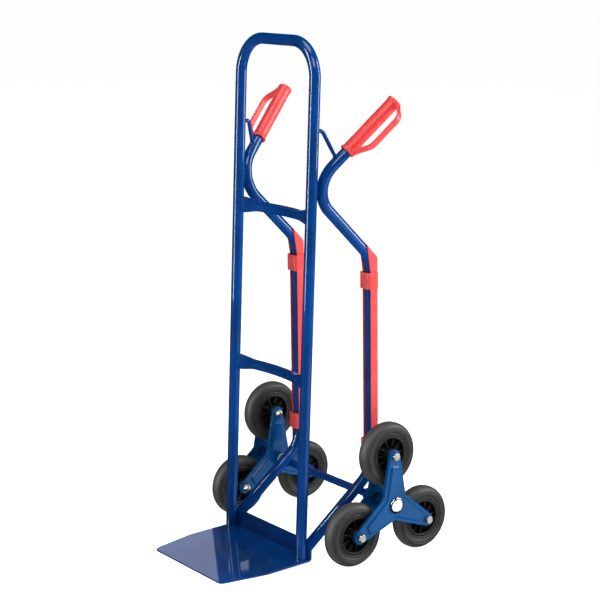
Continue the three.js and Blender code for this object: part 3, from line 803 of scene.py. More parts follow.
def crossbar_sections(here, height):
    """Points round each station of a crossbar, with its ends shaped to the uprights."""
    sizes = here.sizes
    half = here.upright_x
    middle = sizes.crossbar / 2
    steps = 64
    turn = Matrix.Rotation(-sizes.lean, 4, "X")
    base = Vector((0, here.upright(height).y, height))
    rings = []
    for index in range(steps + 1):
        across = math.sin((index / steps - 0.5) * math.pi)
        x = across * (half - here.radius - 0.6 * MM)
        from_end = max(0.0, half - here.radius - abs(x))
        t = min(1.0, from_end / sizes.flare_length)
        flare = 1 - t * t * (3 - 2 * t)
        tall = middle + (sizes.crossbar_flare / 2 - middle) * flare
        deep = middle + (sizes.crossbar_flat / 2 - middle) * flare
        slant = -2 * sizes.crossbar_bow * x / half / half
        ring = []
        for a, b in circle(1.0, 56):
            power = 1 - 0.22 * flare
            wide = math.copysign(abs(a) ** power, a) * deep
            up = math.copysign(abs(b) ** power, b) * tall
            bow = sizes.crossbar_bow * (1 - (x / half) ** 2)
            ring.append(Vector((x - slant * wide, bow + wide, up)))
        rings.append(ring)
    for ring, side in ((rings[0], -1), (rings[-1], 1)):
        for point in ring:
            sunk = math.sqrt(max(0.0, here.radius ** 2 - point.y ** 2))
            point.x = side * (half - sunk - GAP)
    return [[base + turn @ point for point in ring] for ring in rings]


def build_crossbars():
    here = layout()
    for name in ("upper_crossbar", "lower_crossbar"):
        rings = crossbar_sections(here, getattr(here.sizes, name))
        bar = add_object(f"{name}_bowed", Shape().loft(rings).mesh(name))
        finish_piece(bar, "blue_paint", "frame", [name])


def build_toe_plate():
    here = layout()
    plate = settings().plate
    t = plate.thickness
    back_half = here.plate_hi.x
    front_half = plate.front_width / 2
    top_z = plate.upstand + t

    # Middle line of the sheet, with the fold as an arc.
    fold = plate.fold + t / 2
    start = Vector((0, here.front_y, t / 2))
    lean = Vector((0, here.lean, 1)).normalized()
    upright_y = here.upstand_front + t / 2
    corner_z = (upright_y - here.front_y) * here.slope + t / 2
    corner = Vector((0, upright_y + corner_z * here.lean, corner_z))
    end = corner + lean * ((top_z - corner_z) / lean.z)
    run = bent_path([start, corner, end], fold, 10)
    stations = []
    for (first, direction), (second, _) in zip(run, run[1:]):
        pieces = 40 if first is start else 12 if second is end else 1
        stations += [(first.lerp(second, step / pieces), direction) for step in range(pieces)]
    stations.append(run[-1])

    def half_width(point):
        forward = point.y - here.front_y
        if point.z > top_z - plate.chamfer:
            return back_half - (point.z - (top_z - plate.chamfer))
        if forward < plate.kink:
            wide = front_half + (back_half - front_half) * forward / plate.kink
            if forward < plate.corner:
                short = plate.corner - forward
                return wide - plate.corner + math.sqrt(plate.corner ** 2 - short ** 2)
            return wide
        return back_half

    # Extra stations round the front corners.
    near = [plate.corner * (1 - math.cos(math.pi / 2 * i / 12)) for i in range(13)]
    first_direction = stations[0][1]
    kept = [s for s in stations if (s[0] - start).length > plate.corner + 0.001]
    stations = [(start + first_direction * reach, first_direction) for reach in near] + kept

    rings = []
    columns = 24
    for point, direction in stations:
        normal = direction.cross(X_AXIS).normalized()
        half = half_width(point)
        xs = [half * (2 * i / columns - 1) for i in range(columns + 1)]
        upper = [point - normal * t / 2 + X_AXIS * x for x in xs]
        lower = [point + normal * t / 2 + X_AXIS * x for x in reversed(xs)]
        rings.append(upper + lower)
    shape = Shape().loft(rings)
    piece = add_object("toe_plate_folded", shape.mesh("toe_plate"))
    finish_piece(round_edges(piece, 0.9 * MM, 40, 3), "blue_paint", "frame", ["toe_plate"])


def build_struts():
    here = layout()
    sizes = here.sizes
    radius = sizes.strut / 2
    seat = here.upright(sizes.strut_height)
    knee = seat + Y_AXIS * (here.radius + sizes.strut_bend)
    foot = here.corner + here.handle * sizes.strut_reach
    stations = bent_path([seat + Y_AXIS * here.radius * 0.4, knee, foot], sizes.strut_bend, 12)
    rod = stations[-1][1]
    stations[-1] = (foot - rod * here.radius * 0.9, rod)
    straight = stations[-2][0]
    extra = [(straight.lerp(stations[-1][0], i / 10), rod) for i in range(1, 10)]
    stations[-1:-1] = extra
    total = len(stations)

    def section(index):
        ends = min(index, total - 1 - index)
        flat = 1 - 0.3 * max(0.0, 1 - ends / 4)
        return [(a * (2 - flat), b * flat) for a, b in circle(radius, 24)]

    strut = Shape().sweep(stations, section, X_AXIS)
    finish_pair("handle_strut", add_object("strut_right", strut.mesh("strut")), "blue_paint")


def build_grips():
    here = layout()
    grip = settings().grip
    radius = grip.radius
    long = grip.grip_length
    bore = here.radius + GAP
    flange = grip.flange
    closed_end = long - GRIP_END
    profile = [
        (bore, 0.0), (flange - 1.6 * MM, 0.0), (flange - 0.3 * MM, 1.0 * MM),
        (flange, 3.0 * MM), (flange - 0.3 * MM, 5.0 * MM), (flange - 1.6 * MM, 6.2 * MM),
        (radius + 0.5 * MM, 7.2 * MM), (radius, 9.5 * MM), (radius - 0.3 * MM, long * 0.3),
        (radius + 0.1 * MM, long * 0.5), (radius - 0.2 * MM, long * 0.75),
        (radius, long - 13 * MM), (radius + 0.3 * MM, long - 9 * MM),
        (radius + 1.8 * MM, long - 6.5 * MM), (radius + 2.0 * MM, long - 4.5 * MM),
        (radius + 1.2 * MM, long - 2.6 * MM), (radius - 1.0 * MM, long - 2.0 * MM),
        (radius - 2.5 * MM, long - 1.4 * MM), (radius - 6 * MM, long - 0.5 * MM),
        (0.0, long), (0.0, closed_end), (bore, closed_end),
    ]
    sleeve = Shape().turn(profile, 72, closed=True)
    along_z = Matrix.Rotation(-math.pi / 2, 4, "Y")
    body = add_object("grip_right", sleeve.transform(along_z).mesh("grip"))
    body.data.shade_smooth()

    offset = grip.guard_offset
    root = radius - 2.5 * MM
    points = [
        Vector((0, root, 3.4 * MM)), Vector((0, offset, grip.guard_start)),
        Vector((0, offset, grip.guard_end)), Vector((0, root, long - 5.5 * MM)),
    ]
    stations = bent_path(points, 28 * MM, 12)
    spread = []
    for (first, direction), (second, _) in zip(stations, stations[1:]):
        count = max(1, round((second - first).length / (4 * MM)))
        spread += [(first.lerp(second, i / count), direction) for i in range(count)]
    spread.append(stations[-1])
    start, finish = spread[0][0], spread[-1][0]

    def section(index):
        point = spread[index][0]
        near = min((point - start).length, (point - finish).length)
        grow = max(0.0, 1 - near / (26 * MM)) ** 2
        wide = grip.guard_width / 2 * (1 + 0.35 * grow)
        thick = grip.guard_thickness / 2 * (1 + 0.5 * grow)
        outline = []
        for a, b in circle(1.0, 36):
            outline.append((
                math.copysign(abs(a) ** 0.35, a) * wide,
                math.copysign(abs(b) ** 0.6, b) * thick,
            ))
        return outline

    guard = Shape().sweep(spread, section, X_AXIS)
    strap = add_object("guard", guard.mesh("guard"))
    room = Shape().turn([(0.0, -0.01), (bore, -0.01), (bore, closed_end), (0.0, closed_end)], 72)
    hollow = add_object("hollow", room.transform(along_z).mesh("hollow"))
    combine(body, [strap], "UNION")
    add_modifier(body, "REMESH", mode="VOXEL", voxel_size=1.4 * MM)
    add_modifier(body, "SMOOTH", factor=0.5, iterations=10)
    apply_modifiers(body)
    combine(body, [hollow], "DIFFERENCE")

    left = add_object("grip_left", body.data.copy())
    left.data.transform(on_handle(here, grip.reach - long, grip.left_twist))
    left.data = mirrored_mesh(left.data, "grip_left")
    body.data.transform(on_handle(here, grip.reach - long, grip.right_twist))
    finish_piece(body, "red_plastic", "frame", ["grip_r"])
    finish_piece(left, "red_plastic", "frame", ["grip_l"])


def on_handle(here, reach, twist):
    """Turns a shape built up the z axis onto the right handle, its +y outward."""
    along = here.handle
    outward = (X_AXIS - along * along.x).normalized()
    outward = Quaternion(along, twist) @ outward
    across = outward.cross(along)
    start = here.corner + along * reach
    return Matrix((
        (across.x, outward.x, along.x, start.x),
        (across.y, outward.y, along.y, start.y),
        (across.z, outward.z, along.z, start.z),
        (0, 0, 0, 1),
    ))


# ---- Slide rails and clips ----

def channel_outline(half, back, front, corner, steps=10):
    """A rectangle with two rounded corners at +y, as (x, y) pairs."""
    outline = [(-half, -front), (half, -front)]
    for centre, first in ((half - corner, 0.0), (corner - half, math.pi / 2)):
        for step in range(steps + 1):
            turn = first + math.pi / 2 * step / steps
            outline.append((
                centre + corner * math.cos(turn), back - corner + corner * math.sin(turn)
            ))
    return outline


def upright_prism(outline, low, high, levels=1):
    rings = []
    for level in range(levels + 1):
        z = low + (high - low) * level / levels
        rings.append([Vector((x, y, z)) for x, y in outline])
    return Shape().loft(rings)


def build_rails():
    here = layout()
    rail = settings().rail
    inner = here.radius + GAP + RAIL_EASE
    half = inner + rail.wall
    high = rail.top + rail.beak - rail.bottom
    bend_start = here.upper.z - here.sizes.rear_bend * math.tan(math.pi / 8) - rail.bottom
    outline = channel_outline(half, rail.back, rail.beak_reach, rail.corner)
    shape = upright_prism(outline, 0, high)
    slope = Vector((0, -(rail.back + rail.beak_reach), rail.beak))
    shape.trim(Vector((0, rail.back, high - rail.beak)), X_AXIS.cross(slope) * -1)
    piece = add_object("rail_right", shape.mesh("rail"))
    front = [
        (-rail.front, -0.05), (-rail.front, bend_start), (-rail.beak_reach, high),
        (-0.1, high), (-0.1, -0.05),
    ]
    front_rings = [[Vector((x, y, z)) for y, z in front] for x in (-0.03, 0.03)]
    notch = add_object("notch", Shape().loft(front_rings).mesh("notch"))
    combine(piece, [notch], "DIFFERENCE")
    foot = here.rear(rail.bottom)
    lean = Matrix.Rotation(here.rail_lean, 4, "X")
    piece.data.transform(Matrix.Translation(foot) @ lean)
    slot = [(inner, -0.06), (-inner, -0.06)]
    slot += [
        (inner * math.cos(turn), inner * math.sin(turn))
        for turn in (math.pi - math.pi * i / 24 for i in range(25))
    ]
    below = here.rear(rail.bottom - 0.03)
    route = bent_path([below, here.upper, here.corner], here.sizes.rear_bend, 24)
    tool = Shape().sweep(route, slot, X_AXIS)
    combine(piece, [add_object("slot", tool.mesh("slot"))], "DIFFERENCE")
    round_edges(piece, 0.45 * MM, 35, 2)
    finish_pair("slide_rail", piece, "red_plastic")


def build_clips():
    here = layout()
    rail = settings().rail
    inner = here.radius + GAP + RAIL_EASE + rail.wall + GAP
    outer = inner + rail.clip_wall
    front_inner = here.radius + 2.5 * MM
    lap = 10 * MM
    outside = channel_outline(outer, front_inner + rail.clip_wall, lap, 7.5 * MM)
    inside = channel_outline(inner, front_inner, lap, 4.5 * MM)
    outline = outside[1:] + outside[:1] + inside[:1] + inside[:0:-1]
    half = rail.clip_height / 2
    for name, height in (("lower", rail.clip_lower), ("upper", rail.clip_upper)):
        shape = upright_prism([(-x, -y) for x, y in outline], -half, half)
        lean = Matrix.Rotation(here.rail_lean, 4, "X")
        shape.transform(Matrix.Translation(here.rear(height)) @ lean)
        piece = add_object(f"clip_{name}_right", shape.mesh("clip"))
        round_edges(piece, 0.7 * MM, 35, 3)
        finish_pair(f"rail_clip_{name}", piece, "red_plastic")


# ---- Axle, caps and welds ----

def node_span(node):
    lo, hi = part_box(node)
    return lo.x, hi.x, (hi.z - lo.z) / 2


def build_axle():
    here = layout()
    low, high, _ = node_span("axle")
    radius = here.axle_radius
    edge = 0.8 * MM
    profile = [
        (0.0, low), (radius - edge, low), (radius, low + edge),
        (radius, high - edge), (radius - edge, high), (0.0, high),
    ]
    rod = add_object("axle_rod", Shape().turn(profile, 64).mesh("axle_rod"))
    rod.location = here.axle
    finish_piece(rod, "blue_paint", "frame", ["axle"])
    for kind, slot in (("axle_collar", "blue_paint"), ("thrust_washer", "zinc_steel")):
        for side in SIDES:
            low, high, outer = node_span(f"{kind}_{side}")
            bore = radius + GAP
            edge = 0.7 * MM
            ring = [
                (bore, low), (outer - edge, low), (outer - edge * 0.3, low + edge * 0.3),
                (outer, low + edge), (outer, high - edge),
                (outer - edge * 0.3, high - edge * 0.3), (outer - edge, high), (bore, high),
            ]
            piece = add_object(f"{kind}_turned_{side}", Shape().turn(ring, 64, True).mesh(kind))
            piece.location = here.axle
            finish_piece(piece, slot, "frame", [f"{kind}_{side}"])


def build_caps():
    here = layout()
    for side, sign in SIDES.items():
        low, high, outer = node_span(f"hub_cap_{side}")
        base, crown = (low, high) if sign > 0 else (-high, -low)
        bore = here.axle_radius + GAP
        thick = crown - base
        profile = [
            (bore, base), (outer - 0.8 * MM, base), (outer - 0.2 * MM, base + 0.3 * MM),
            (outer, base + 0.9 * MM), (outer, base + thick * 0.42),
            (outer - 0.5 * MM, base + thick * 0.58), (outer - 1.6 * MM, base + thick * 0.72),
        ]
        for step in range(1, 13):
            t = step / 12
            radius = (outer - 1.6 * MM) * math.cos(t * math.pi / 2)
            profile.append((radius, base + thick * (0.72 + 0.28 * math.sin(t * math.pi / 2))))
        profile[-1] = (0.0, crown)
        profile += [(0.0, base + thick * 0.5 + GAP), (bore, base + thick * 0.5 + GAP)]
        piece = add_object(f"cap_domed_{side}", Shape().turn(profile, 96, True).mesh("cap"))
        if sign < 0:
            piece.rotation_euler = (0, 0, math.pi)
        piece.location = here.axle
        finish_piece(piece, "chrome_cap", "frame", [f"hub_cap_{side}"])


def build_welds():
    here = layout()
    sizes = here.sizes
    radius = here.radius
    bead = sizes.weld
    beads = []

    # Uprights on the toe plate.
    foot = here.upright(here.plate_top(here.foot_y))
    points = []
    for a, b in circle(radius + 0.2 * MM, 60):
        y = min(foot.y + b, here.upstand_front)
        points.append(Vector((foot.x + a, y, here.plate_top(y))))
    beads.append((points, bead))

    # Rear tubes on the upstand.
    side = X_AXIS
    up = here.slant.cross(side)
    ring = []
    for a, b in circle(radius + 0.2 * MM, 60):
        start = here.foot + side * a + up * b
        gap_y = here.upstand_back + start.z * here.lean - start.y
        ring.append(start + here.slant * gap_y / (here.slant.y - here.slant.z * here.lean))
    beads.append((ring, bead))

    # Crossbar ends.
    for name in ("upper_crossbar", "lower_crossbar"):
        rings = crossbar_sections(here, getattr(sizes, name))
        beads.append((rings[-1], bead * 0.8))

    # Strut ends.
    seat = here.upright(sizes.strut_height)
    rod = sizes.strut / 2
    points = [
        onto_tube(seat + Y_AXIS * 0.05 + X_AXIS * a * 1.25 + Z_AXIS * b * 0.8, -Y_AXIS,
                  seat, here.upright_axis, radius)
        for a, b in circle(rod, 36)
    ]
    beads.append((points, bead * 0.75))
    knee = seat + Y_AXIS * (radius + sizes.strut_bend)
    foot = here.corner + here.handle * sizes.strut_reach
    down = (foot - knee).normalized()
    across = (X_AXIS - down * down.x).normalized()
    other = down.cross(across)
    points = [
        onto_tube(knee + across * a * 1.25 + other * b * 0.8, down,
                  here.corner, here.handle, radius)
        for a, b in circle(rod, 36)
    ]
    beads.append((points, bead * 0.75))

    # The axle under each rear tube, and each rear tube against its upright.
    touch = here.axle.copy()
    touch.x = here.upright_x
    above = here.slant.cross(X_AXIS).normalized()
    contact = touch - above * (here.axle_radius if above.z > 0 else -here.axle_radius)
    for sign in (-1, 1):
        line = contact + here.slant * sign * 3.2 * MM
        long = 11 * MM
        points = [line - X_AXIS * long, line + X_AXIS * long]
        beads.append((oval(points[0], points[1], 1.4 * MM, here.slant), bead * 0.8))
    bend = here.corner
    level = here.upright(bend.z)
    contact = level + Y_AXIS * (radius + GAP / 2)
    for sign in (-1, 1):
        line = contact + X_AXIS * sign * 4.2 * MM
        points = [line - here.upright_axis * 17 * MM, line + here.upright_axis * 17 * MM]
        beads.append((oval(points[0], points[1], 1.2 * MM, X_AXIS), bead * 0.85))

    whole = Shape()
    for points, thick in beads:
        one = weld_bead(points, thick).mesh("bead")
        whole.bm.from_mesh(one)
        flipped = mirrored_mesh(one, "bead_left")
        whole.bm.from_mesh(flipped)
    piece = add_object("weld_beads", whole.mesh("weld_beads"))
    piece.data.materials.append(finish_for("blue_paint"))
    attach(piece, "frame")


def oval(start, end, half, across):
    """A long closed loop of points round a line."""
    along = (end - start).normalized()
    points = []
    for centre, way in ((end, 1), (start, -1)):
        for step in range(9):
            turn = math.pi * step / 8
            points.append(
                centre + along * way * half * math.sin(turn) + across * way * half * math.cos(turn)
            )
    return points


# ---- Stars ----

class StarOutline:
    """The star's edge and its raised panel, as matching loops of (y, z) points."""

    def __init__(self, star, reach):
        self.star = star
        self.reach = reach
        valley_x = star.valley * math.cos(math.pi / 3)
        valley_y = star.valley * math.sin(math.pi / 3)
        distance = math.hypot(reach - valley_x, valley_y)
        self.turn = math.atan2(valley_y, valley_x - reach) - math.acos(star.arm_end / distance)
        self.side = Vector((math.cos(self.turn), math.sin(self.turn)))
        self.facing = self.side.x * 0.5 + self.side.y * math.sin(math.pi / 3)
        self.offset = reach * self.side.x + star.arm_end

    def valley_fillet(self, inset, radius, steps=8):
        """Half of the rounded valley beside an arm, in the arm's frame, towards the arm."""
        reach = self.star.valley - inset / self.facing
        bend = math.acos(self.facing)
        centre = Vector((math.cos(math.pi / 3), math.sin(math.pi / 3)))
        centre *= reach + radius / math.cos(bend)
        middle = math.pi / 3 + math.pi
        points = []
        for step in range(steps + 1):
            turn = middle + (self.turn - math.pi / 3) * step / steps
            points.append(centre + Vector((math.cos(turn), math.sin(turn))) * radius)
        return points

    def loop(self, arm_half):
        """A whole loop from half an arm, mirrored and turned three times."""
        points = []
        for arm in (90, 210, 330):
            turn = math.radians(arm)
            across = [(p.x, -p.y) for p in arm_half]
            across += [(p.x, p.y) for p in reversed(arm_half[1:])]
            for x, y in across:
                points.append((
                    x * math.cos(turn) - y * math.sin(turn),
                    x * math.sin(turn) + y * math.cos(turn),
                ))
        return points

    def edge(self, inset):
        """The outline, moved in by inset."""
        half = self.valley_fillet(inset, 7 * MM + inset)
        radius = self.star.arm_end - inset
        for step in range(13):
            turn = self.turn * (1 - step / 12.5)
            half.append(Vector((
                self.reach + radius * math.cos(turn), radius * math.sin(turn)
            )))
        return self.loop(half)

    def panel(self, inset, reach):
        """The raised panel's outline: square ends with rounded corners."""
        half = self.valley_fillet(inset, 5 * MM + inset)
        width = (self.offset - inset - reach * self.side.x) / self.side.y
        corner = min(4.5 * MM, width * 0.6)
        at = Vector((reach - corner, 0))
        at.y = (self.offset - inset - corner - at.x * self.side.x) / self.side.y
        for step in range(13):
            turn = self.turn * (1 - step / 12)
            half.append(at + Vector((math.cos(turn), math.sin(turn))) * corner)
        return self.loop(half)


def build_star_plates():
    here = layout()
    star = settings().star
    wheel = here.joints["wheel_r1_spin"]
    reach = wheel.z - here.axle.z
    lines = StarOutline(star, reach)
    face = star.width / 2
    sheet = star.sheet
    border = star.border
    rise = star.rise
    panel = star.panel_reach

    loops = [(lines.edge(sheet), face - sheet)]
    loops.append((lines.edge(sheet), face - star.flange + 0.4 * MM))
    loops.append((lines.edge(sheet - 0.4 * MM), face - star.flange))
    loops.append((lines.edge(0.4 * MM), face - star.flange))
    loops.append((lines.edge(0.0), face - star.flange + 0.4 * MM))
    for step in range(6):
        turn = math.pi / 2 * step / 5
        inset = star.edge_round * (1 - math.cos(turn))
        loops.append((lines.edge(inset), face - star.edge_round * (1 - math.sin(turn))))
    loops.append((lines.panel(border - 0.8 * MM, panel + 0.8 * MM), face))
    loops.append((lines.panel(border, panel), face + 0.25 * MM))
    loops.append((lines.panel(border + 0.5 * MM, panel - 0.5 * MM), face + 0.9 * MM))
    loops.append((lines.panel(border + rise * 0.75, panel - rise * 0.75), face + rise - 0.9 * MM))
    loops.append((lines.panel(border + rise, panel - rise), face + rise - 0.2 * MM))
    loops.append((lines.panel(border + rise + 0.9 * MM, panel - rise - 0.9 * MM), face + rise))

    shape = Shape()
    made = [shape.ring([Vector((x, y, z)) for y, z in points]) for points, x in loops]
    for first, second in zip(made, made[1:]):
        shape.bridge(first, second)
    shape.bm.faces.new(made[-1])
    shape.bm.faces.new(made[0])
    mesh = shape.mesh("star_plate")

    for side, sign in SIDES.items():
        centre = here.joints[f"star_{side}_turn"]
        for place, turn in (("outer", 0), ("inner", math.pi)):
            name = f"star_plate_{place}_{side}"
            piece = add_object(f"{name}_pressed", mesh.copy())
            heading = turn + (0 if sign > 0 else math.pi)
            piece.rotation_euler = (0, 0, heading)
            piece.location = centre
            finish_piece(piece, "star_paint", f"star_{side}", [name])


def build_hub_tubes():
    here = layout()
    for side in SIDES:
        low, high, outer = node_span(f"hub_tube_{side}")
        bore = here.axle_radius + GAP
        edge = 0.8 * MM
        ring = [
            (bore, low), (outer - edge, low), (outer, low + edge), (outer, high - edge),
            (outer - edge, high), (bore, high),
        ]
        piece = add_object(f"hub_tube_turned_{side}", Shape().turn(ring, 72, True).mesh("hub"))
        piece.location = here.axle
        finish_piece(piece, "star_paint", f"star_{side}", [f"hub_tube_{side}"])


# ---- Bolts, nuts and sleeves ----

def hex_rings(width, low, high, count=72):
    """Rings of a hexagon whose far face has the usual 30 degree corner chamfer."""
    flat = width / 2
    crown = flat * 0.94
    fall = math.tan(math.radians(30))
    turns = [math.tau * i / count for i in range(count)]

    def corner(turn):
        return flat / math.cos((turn + math.pi / 6) % (math.pi / 3) - math.pi / 6)

    def ring(scale, x):
        points = []
        for turn in turns:
            radius = min(corner(turn) * scale, flat / math.cos(math.pi / 6) * 0.985)
            points.append(Vector((x, radius * math.cos(turn), radius * math.sin(turn))))
        return points

    chamfered = []
    for turn in turns:
        radius = min(corner(turn), flat / math.cos(math.pi / 6) * 0.985)
        drop = max(0.0, radius - crown) * fall
        chamfered.append(Vector((high - drop, radius * math.cos(turn), radius * math.sin(turn))))
    top = [Vector((high, crown * math.cos(t), crown * math.sin(t))) for t in turns]
    return [ring(0.97, low), ring(1.0, low + 0.3 * MM), chamfered, top]


def flat_circle(radius, x, count=72):
    return [Vector((x, a, b)) for a, b in circle(radius, count)]


def bolt_shape(star):
    seat = star.width / 2
    top = seat + 0.3 * MM + star.head_height
    radius = star.bolt / 2
    tail = star.tail
    rings = [
        [Vector((-tail, 0, 0))],
        flat_circle(radius - 1.2 * MM, -tail),
        flat_circle(radius - 0.2 * MM, -tail + 1.0 * MM),
    ]
    threads = 9
    for step in range(threads * 2):
        deep = 0.45 * MM if step % 2 else 0.0
        rings.append(flat_circle(radius - deep, -tail + 1.2 * MM + step * 0.8 * MM))
    rings += [flat_circle(radius, -seat + 0.5 * MM), flat_circle(radius, seat + 0.2 * MM)]
    rings += hex_rings(star.head_width, seat + 0.3 * MM, top)
    rings += [
        flat_circle(star.head_width * 0.40, top),
        flat_circle(star.head_width * 0.37, top - 0.35 * MM),
        [Vector((top - 0.35 * MM, 0, 0))],
    ]
    return Shape().loft(rings)


def nut_shape(star):
    seat = star.width / 2 + 0.3 * MM
    bore = star.bolt / 2 + 0.3 * MM
    hex_top = seat + star.nut_height * 0.68
    top = seat + star.nut_height
    rings = [flat_circle(bore, seat)]
    rings += hex_rings(star.head_width, seat, hex_top)
    rings += [
        flat_circle(star.head_width * 0.43, hex_top + 0.1 * MM),
        flat_circle(star.head_width * 0.42, top - 1.6 * MM),
        flat_circle(star.head_width * 0.39, top - 0.5 * MM),
        flat_circle(star.head_width * 0.35, top),
        flat_circle(bore, top),
    ]
    return Shape().loft(rings, closed=True)


def sleeve_shape(half, outer, bore):
    edge = 0.5 * MM
    ring = [
        (bore, -half), (outer - edge, -half), (outer, edge - half), (outer, half - edge),
        (outer - edge, half), (bore, half),
    ]
    return Shape().turn(ring, 48, True)


def place_on_wheels(name, shape, slot, on_wheel, turn=0.0):
    """Puts a copy of a shape, made round the x axis, at each of the six wheels."""
    here = layout()
    mesh = shape.mesh(name)
    for side, sign in SIDES.items():
        for number in (1, 2, 3):
            label = f"{side}{number}"
            piece = add_object(f"{name}_detailed_{label}", mesh.copy())
            heading = turn + (0 if sign > 0 else math.pi)
            spin = 0.35 * number + (0.5 if sign < 0 else 0.0)
            piece.data.transform(
                Matrix.Rotation(heading, 4, "Z") @ Matrix.Rotation(spin, 4, "X")
            )
            piece.location = here.joints[f"wheel_{label}_spin"]
            body = f"wheel_{label}" if on_wheel else f"star_{side}"
            finish_piece(piece, slot, body, [f"{name}_{label}"])


def build_fasteners():
    star = settings().star
    place_on_wheels("wheel_bolt", bolt_shape(star), "zinc_steel", False)
    place_on_wheels("wheel_nut", nut_shape(star), "zinc_steel", False, math.pi)
    half = star.width / 2 - star.sheet - 0.3 * MM
    outer = 9 * MM
    bore = star.bolt / 2 + 0.4 * MM
    place_on_wheels("wheel_sleeve", sleeve_shape(half, outer, bore), "zinc_steel", False)


# ---- Wheels ----

def build_hubs():
    wheel = settings().wheel
    rim = wheel.bore - 0.6 * MM
    half = wheel.rim_width / 2
    inner = wheel.rim_inner
    web = wheel.web / 2
    boss = wheel.boss
    bore = 9.4 * MM
    edge = 0.6 * MM
    outside = [
        (bore, wheel.neck_half), (wheel.neck - edge, wheel.neck_half),
        (wheel.neck, wheel.neck_half - edge), (wheel.neck, wheel.boss_half + edge),
        (boss - 1.2 * MM, wheel.boss_half), (boss, wheel.boss_half - 1.2 * MM),
        (boss + 0.8 * MM, web + 2.5 * MM), (boss + 3 * MM, web + 0.4 * MM), (boss + 5 * MM, web),
        (inner - 4 * MM, web), (inner - 1.5 * MM, web + 0.8 * MM), (inner - 0.4 * MM, web + 3 * MM),
        (inner, half - 1.6 * MM), (inner + 0.8 * MM, half - 0.3 * MM), (inner + 1.6 * MM, half),
        (rim - 1.0 * MM, half), (rim, half - 1.0 * MM),
    ]
    profile = outside + [(radius, -x) for radius, x in reversed(outside)]
    shape = Shape().turn(profile, 96, True)
    thick = wheel.rib / 2
    for side in (1, -1):
        for index in range(wheel.ribs):
            turn = Matrix.Rotation(math.tau * index / wheel.ribs, 4, "X")
            rings = []
            for z, tall in ((boss - 1 * MM, 18 * MM), (boss + 8 * MM, 14.5 * MM),
                            (inner - 8 * MM, 12.5 * MM), (inner + 1 * MM, 13.5 * MM)):
                low, high = side * (web - 0.5 * MM), side * tall
                soft = side * 0.6 * MM
                section = [
                    (low, -thick * 1.25), (high - soft, -thick), (high, -thick * 0.5),
                    (high, thick * 0.5), (high - soft, thick), (low, thick * 1.25),
                ]
                rings.append([turn @ Vector((x, y, z)) for x, y in section])
            shape.loft(rings)
    place_on_wheels("wheel_hub", shape, "hub_plastic", True)


def build_tyres():
    wheel = settings().wheel
    bore = wheel.bore
    radius = wheel.radius
    side = [
        (bore, 15.5), (bore + 0.6 * MM, 16.6), (bore + 1.6 * MM, 17.2), (bore + 3.4 * MM, 17.3),
        (bore + 4.3 * MM, 16.9), (bore + 4.7 * MM, 15.9), (bore + 5.2 * MM, 15.6),
        (bore + 5.7 * MM, 16.0), (bore + 6.1 * MM, 17.3), (bore + 7.0 * MM, 18.2),
        (bore + 9.0 * MM, 18.9), (bore + 12.0 * MM, 19.5), (bore + 15.0 * MM, 19.85),
        (bore + 15.6 * MM, 19.3), (bore + 16.3 * MM, 19.3), (bore + 16.9 * MM, 19.9),
        (bore + 18.0 * MM, 20.0), (bore + 18.7 * MM, 19.7), (bore + 19.2 * MM, 18.6),
        (bore + 19.9 * MM, 18.4), (bore + 20.6 * MM, 18.7), (bore + 22.4 * MM, 18.0),
        (bore + 24.6 * MM, 16.6), (bore + 26.6 * MM, 14.7), (bore + 28.4 * MM, 12.2),
        (bore + 29.8 * MM, 9.2), (radius - 0.35 * MM, 6.0), (radius, 2.6), (radius, 0.0),
    ]
    scale = wheel.tyre_width / 2 / 20
    near = [(r, x * scale) for r, x in side]
    profile = near + [(r, -x) for r, x in reversed(near[:-1])]
    place_on_wheels("tyre", Shape().turn(profile, 128, True), "tyre_rubber", True)


# ---- Stage ----

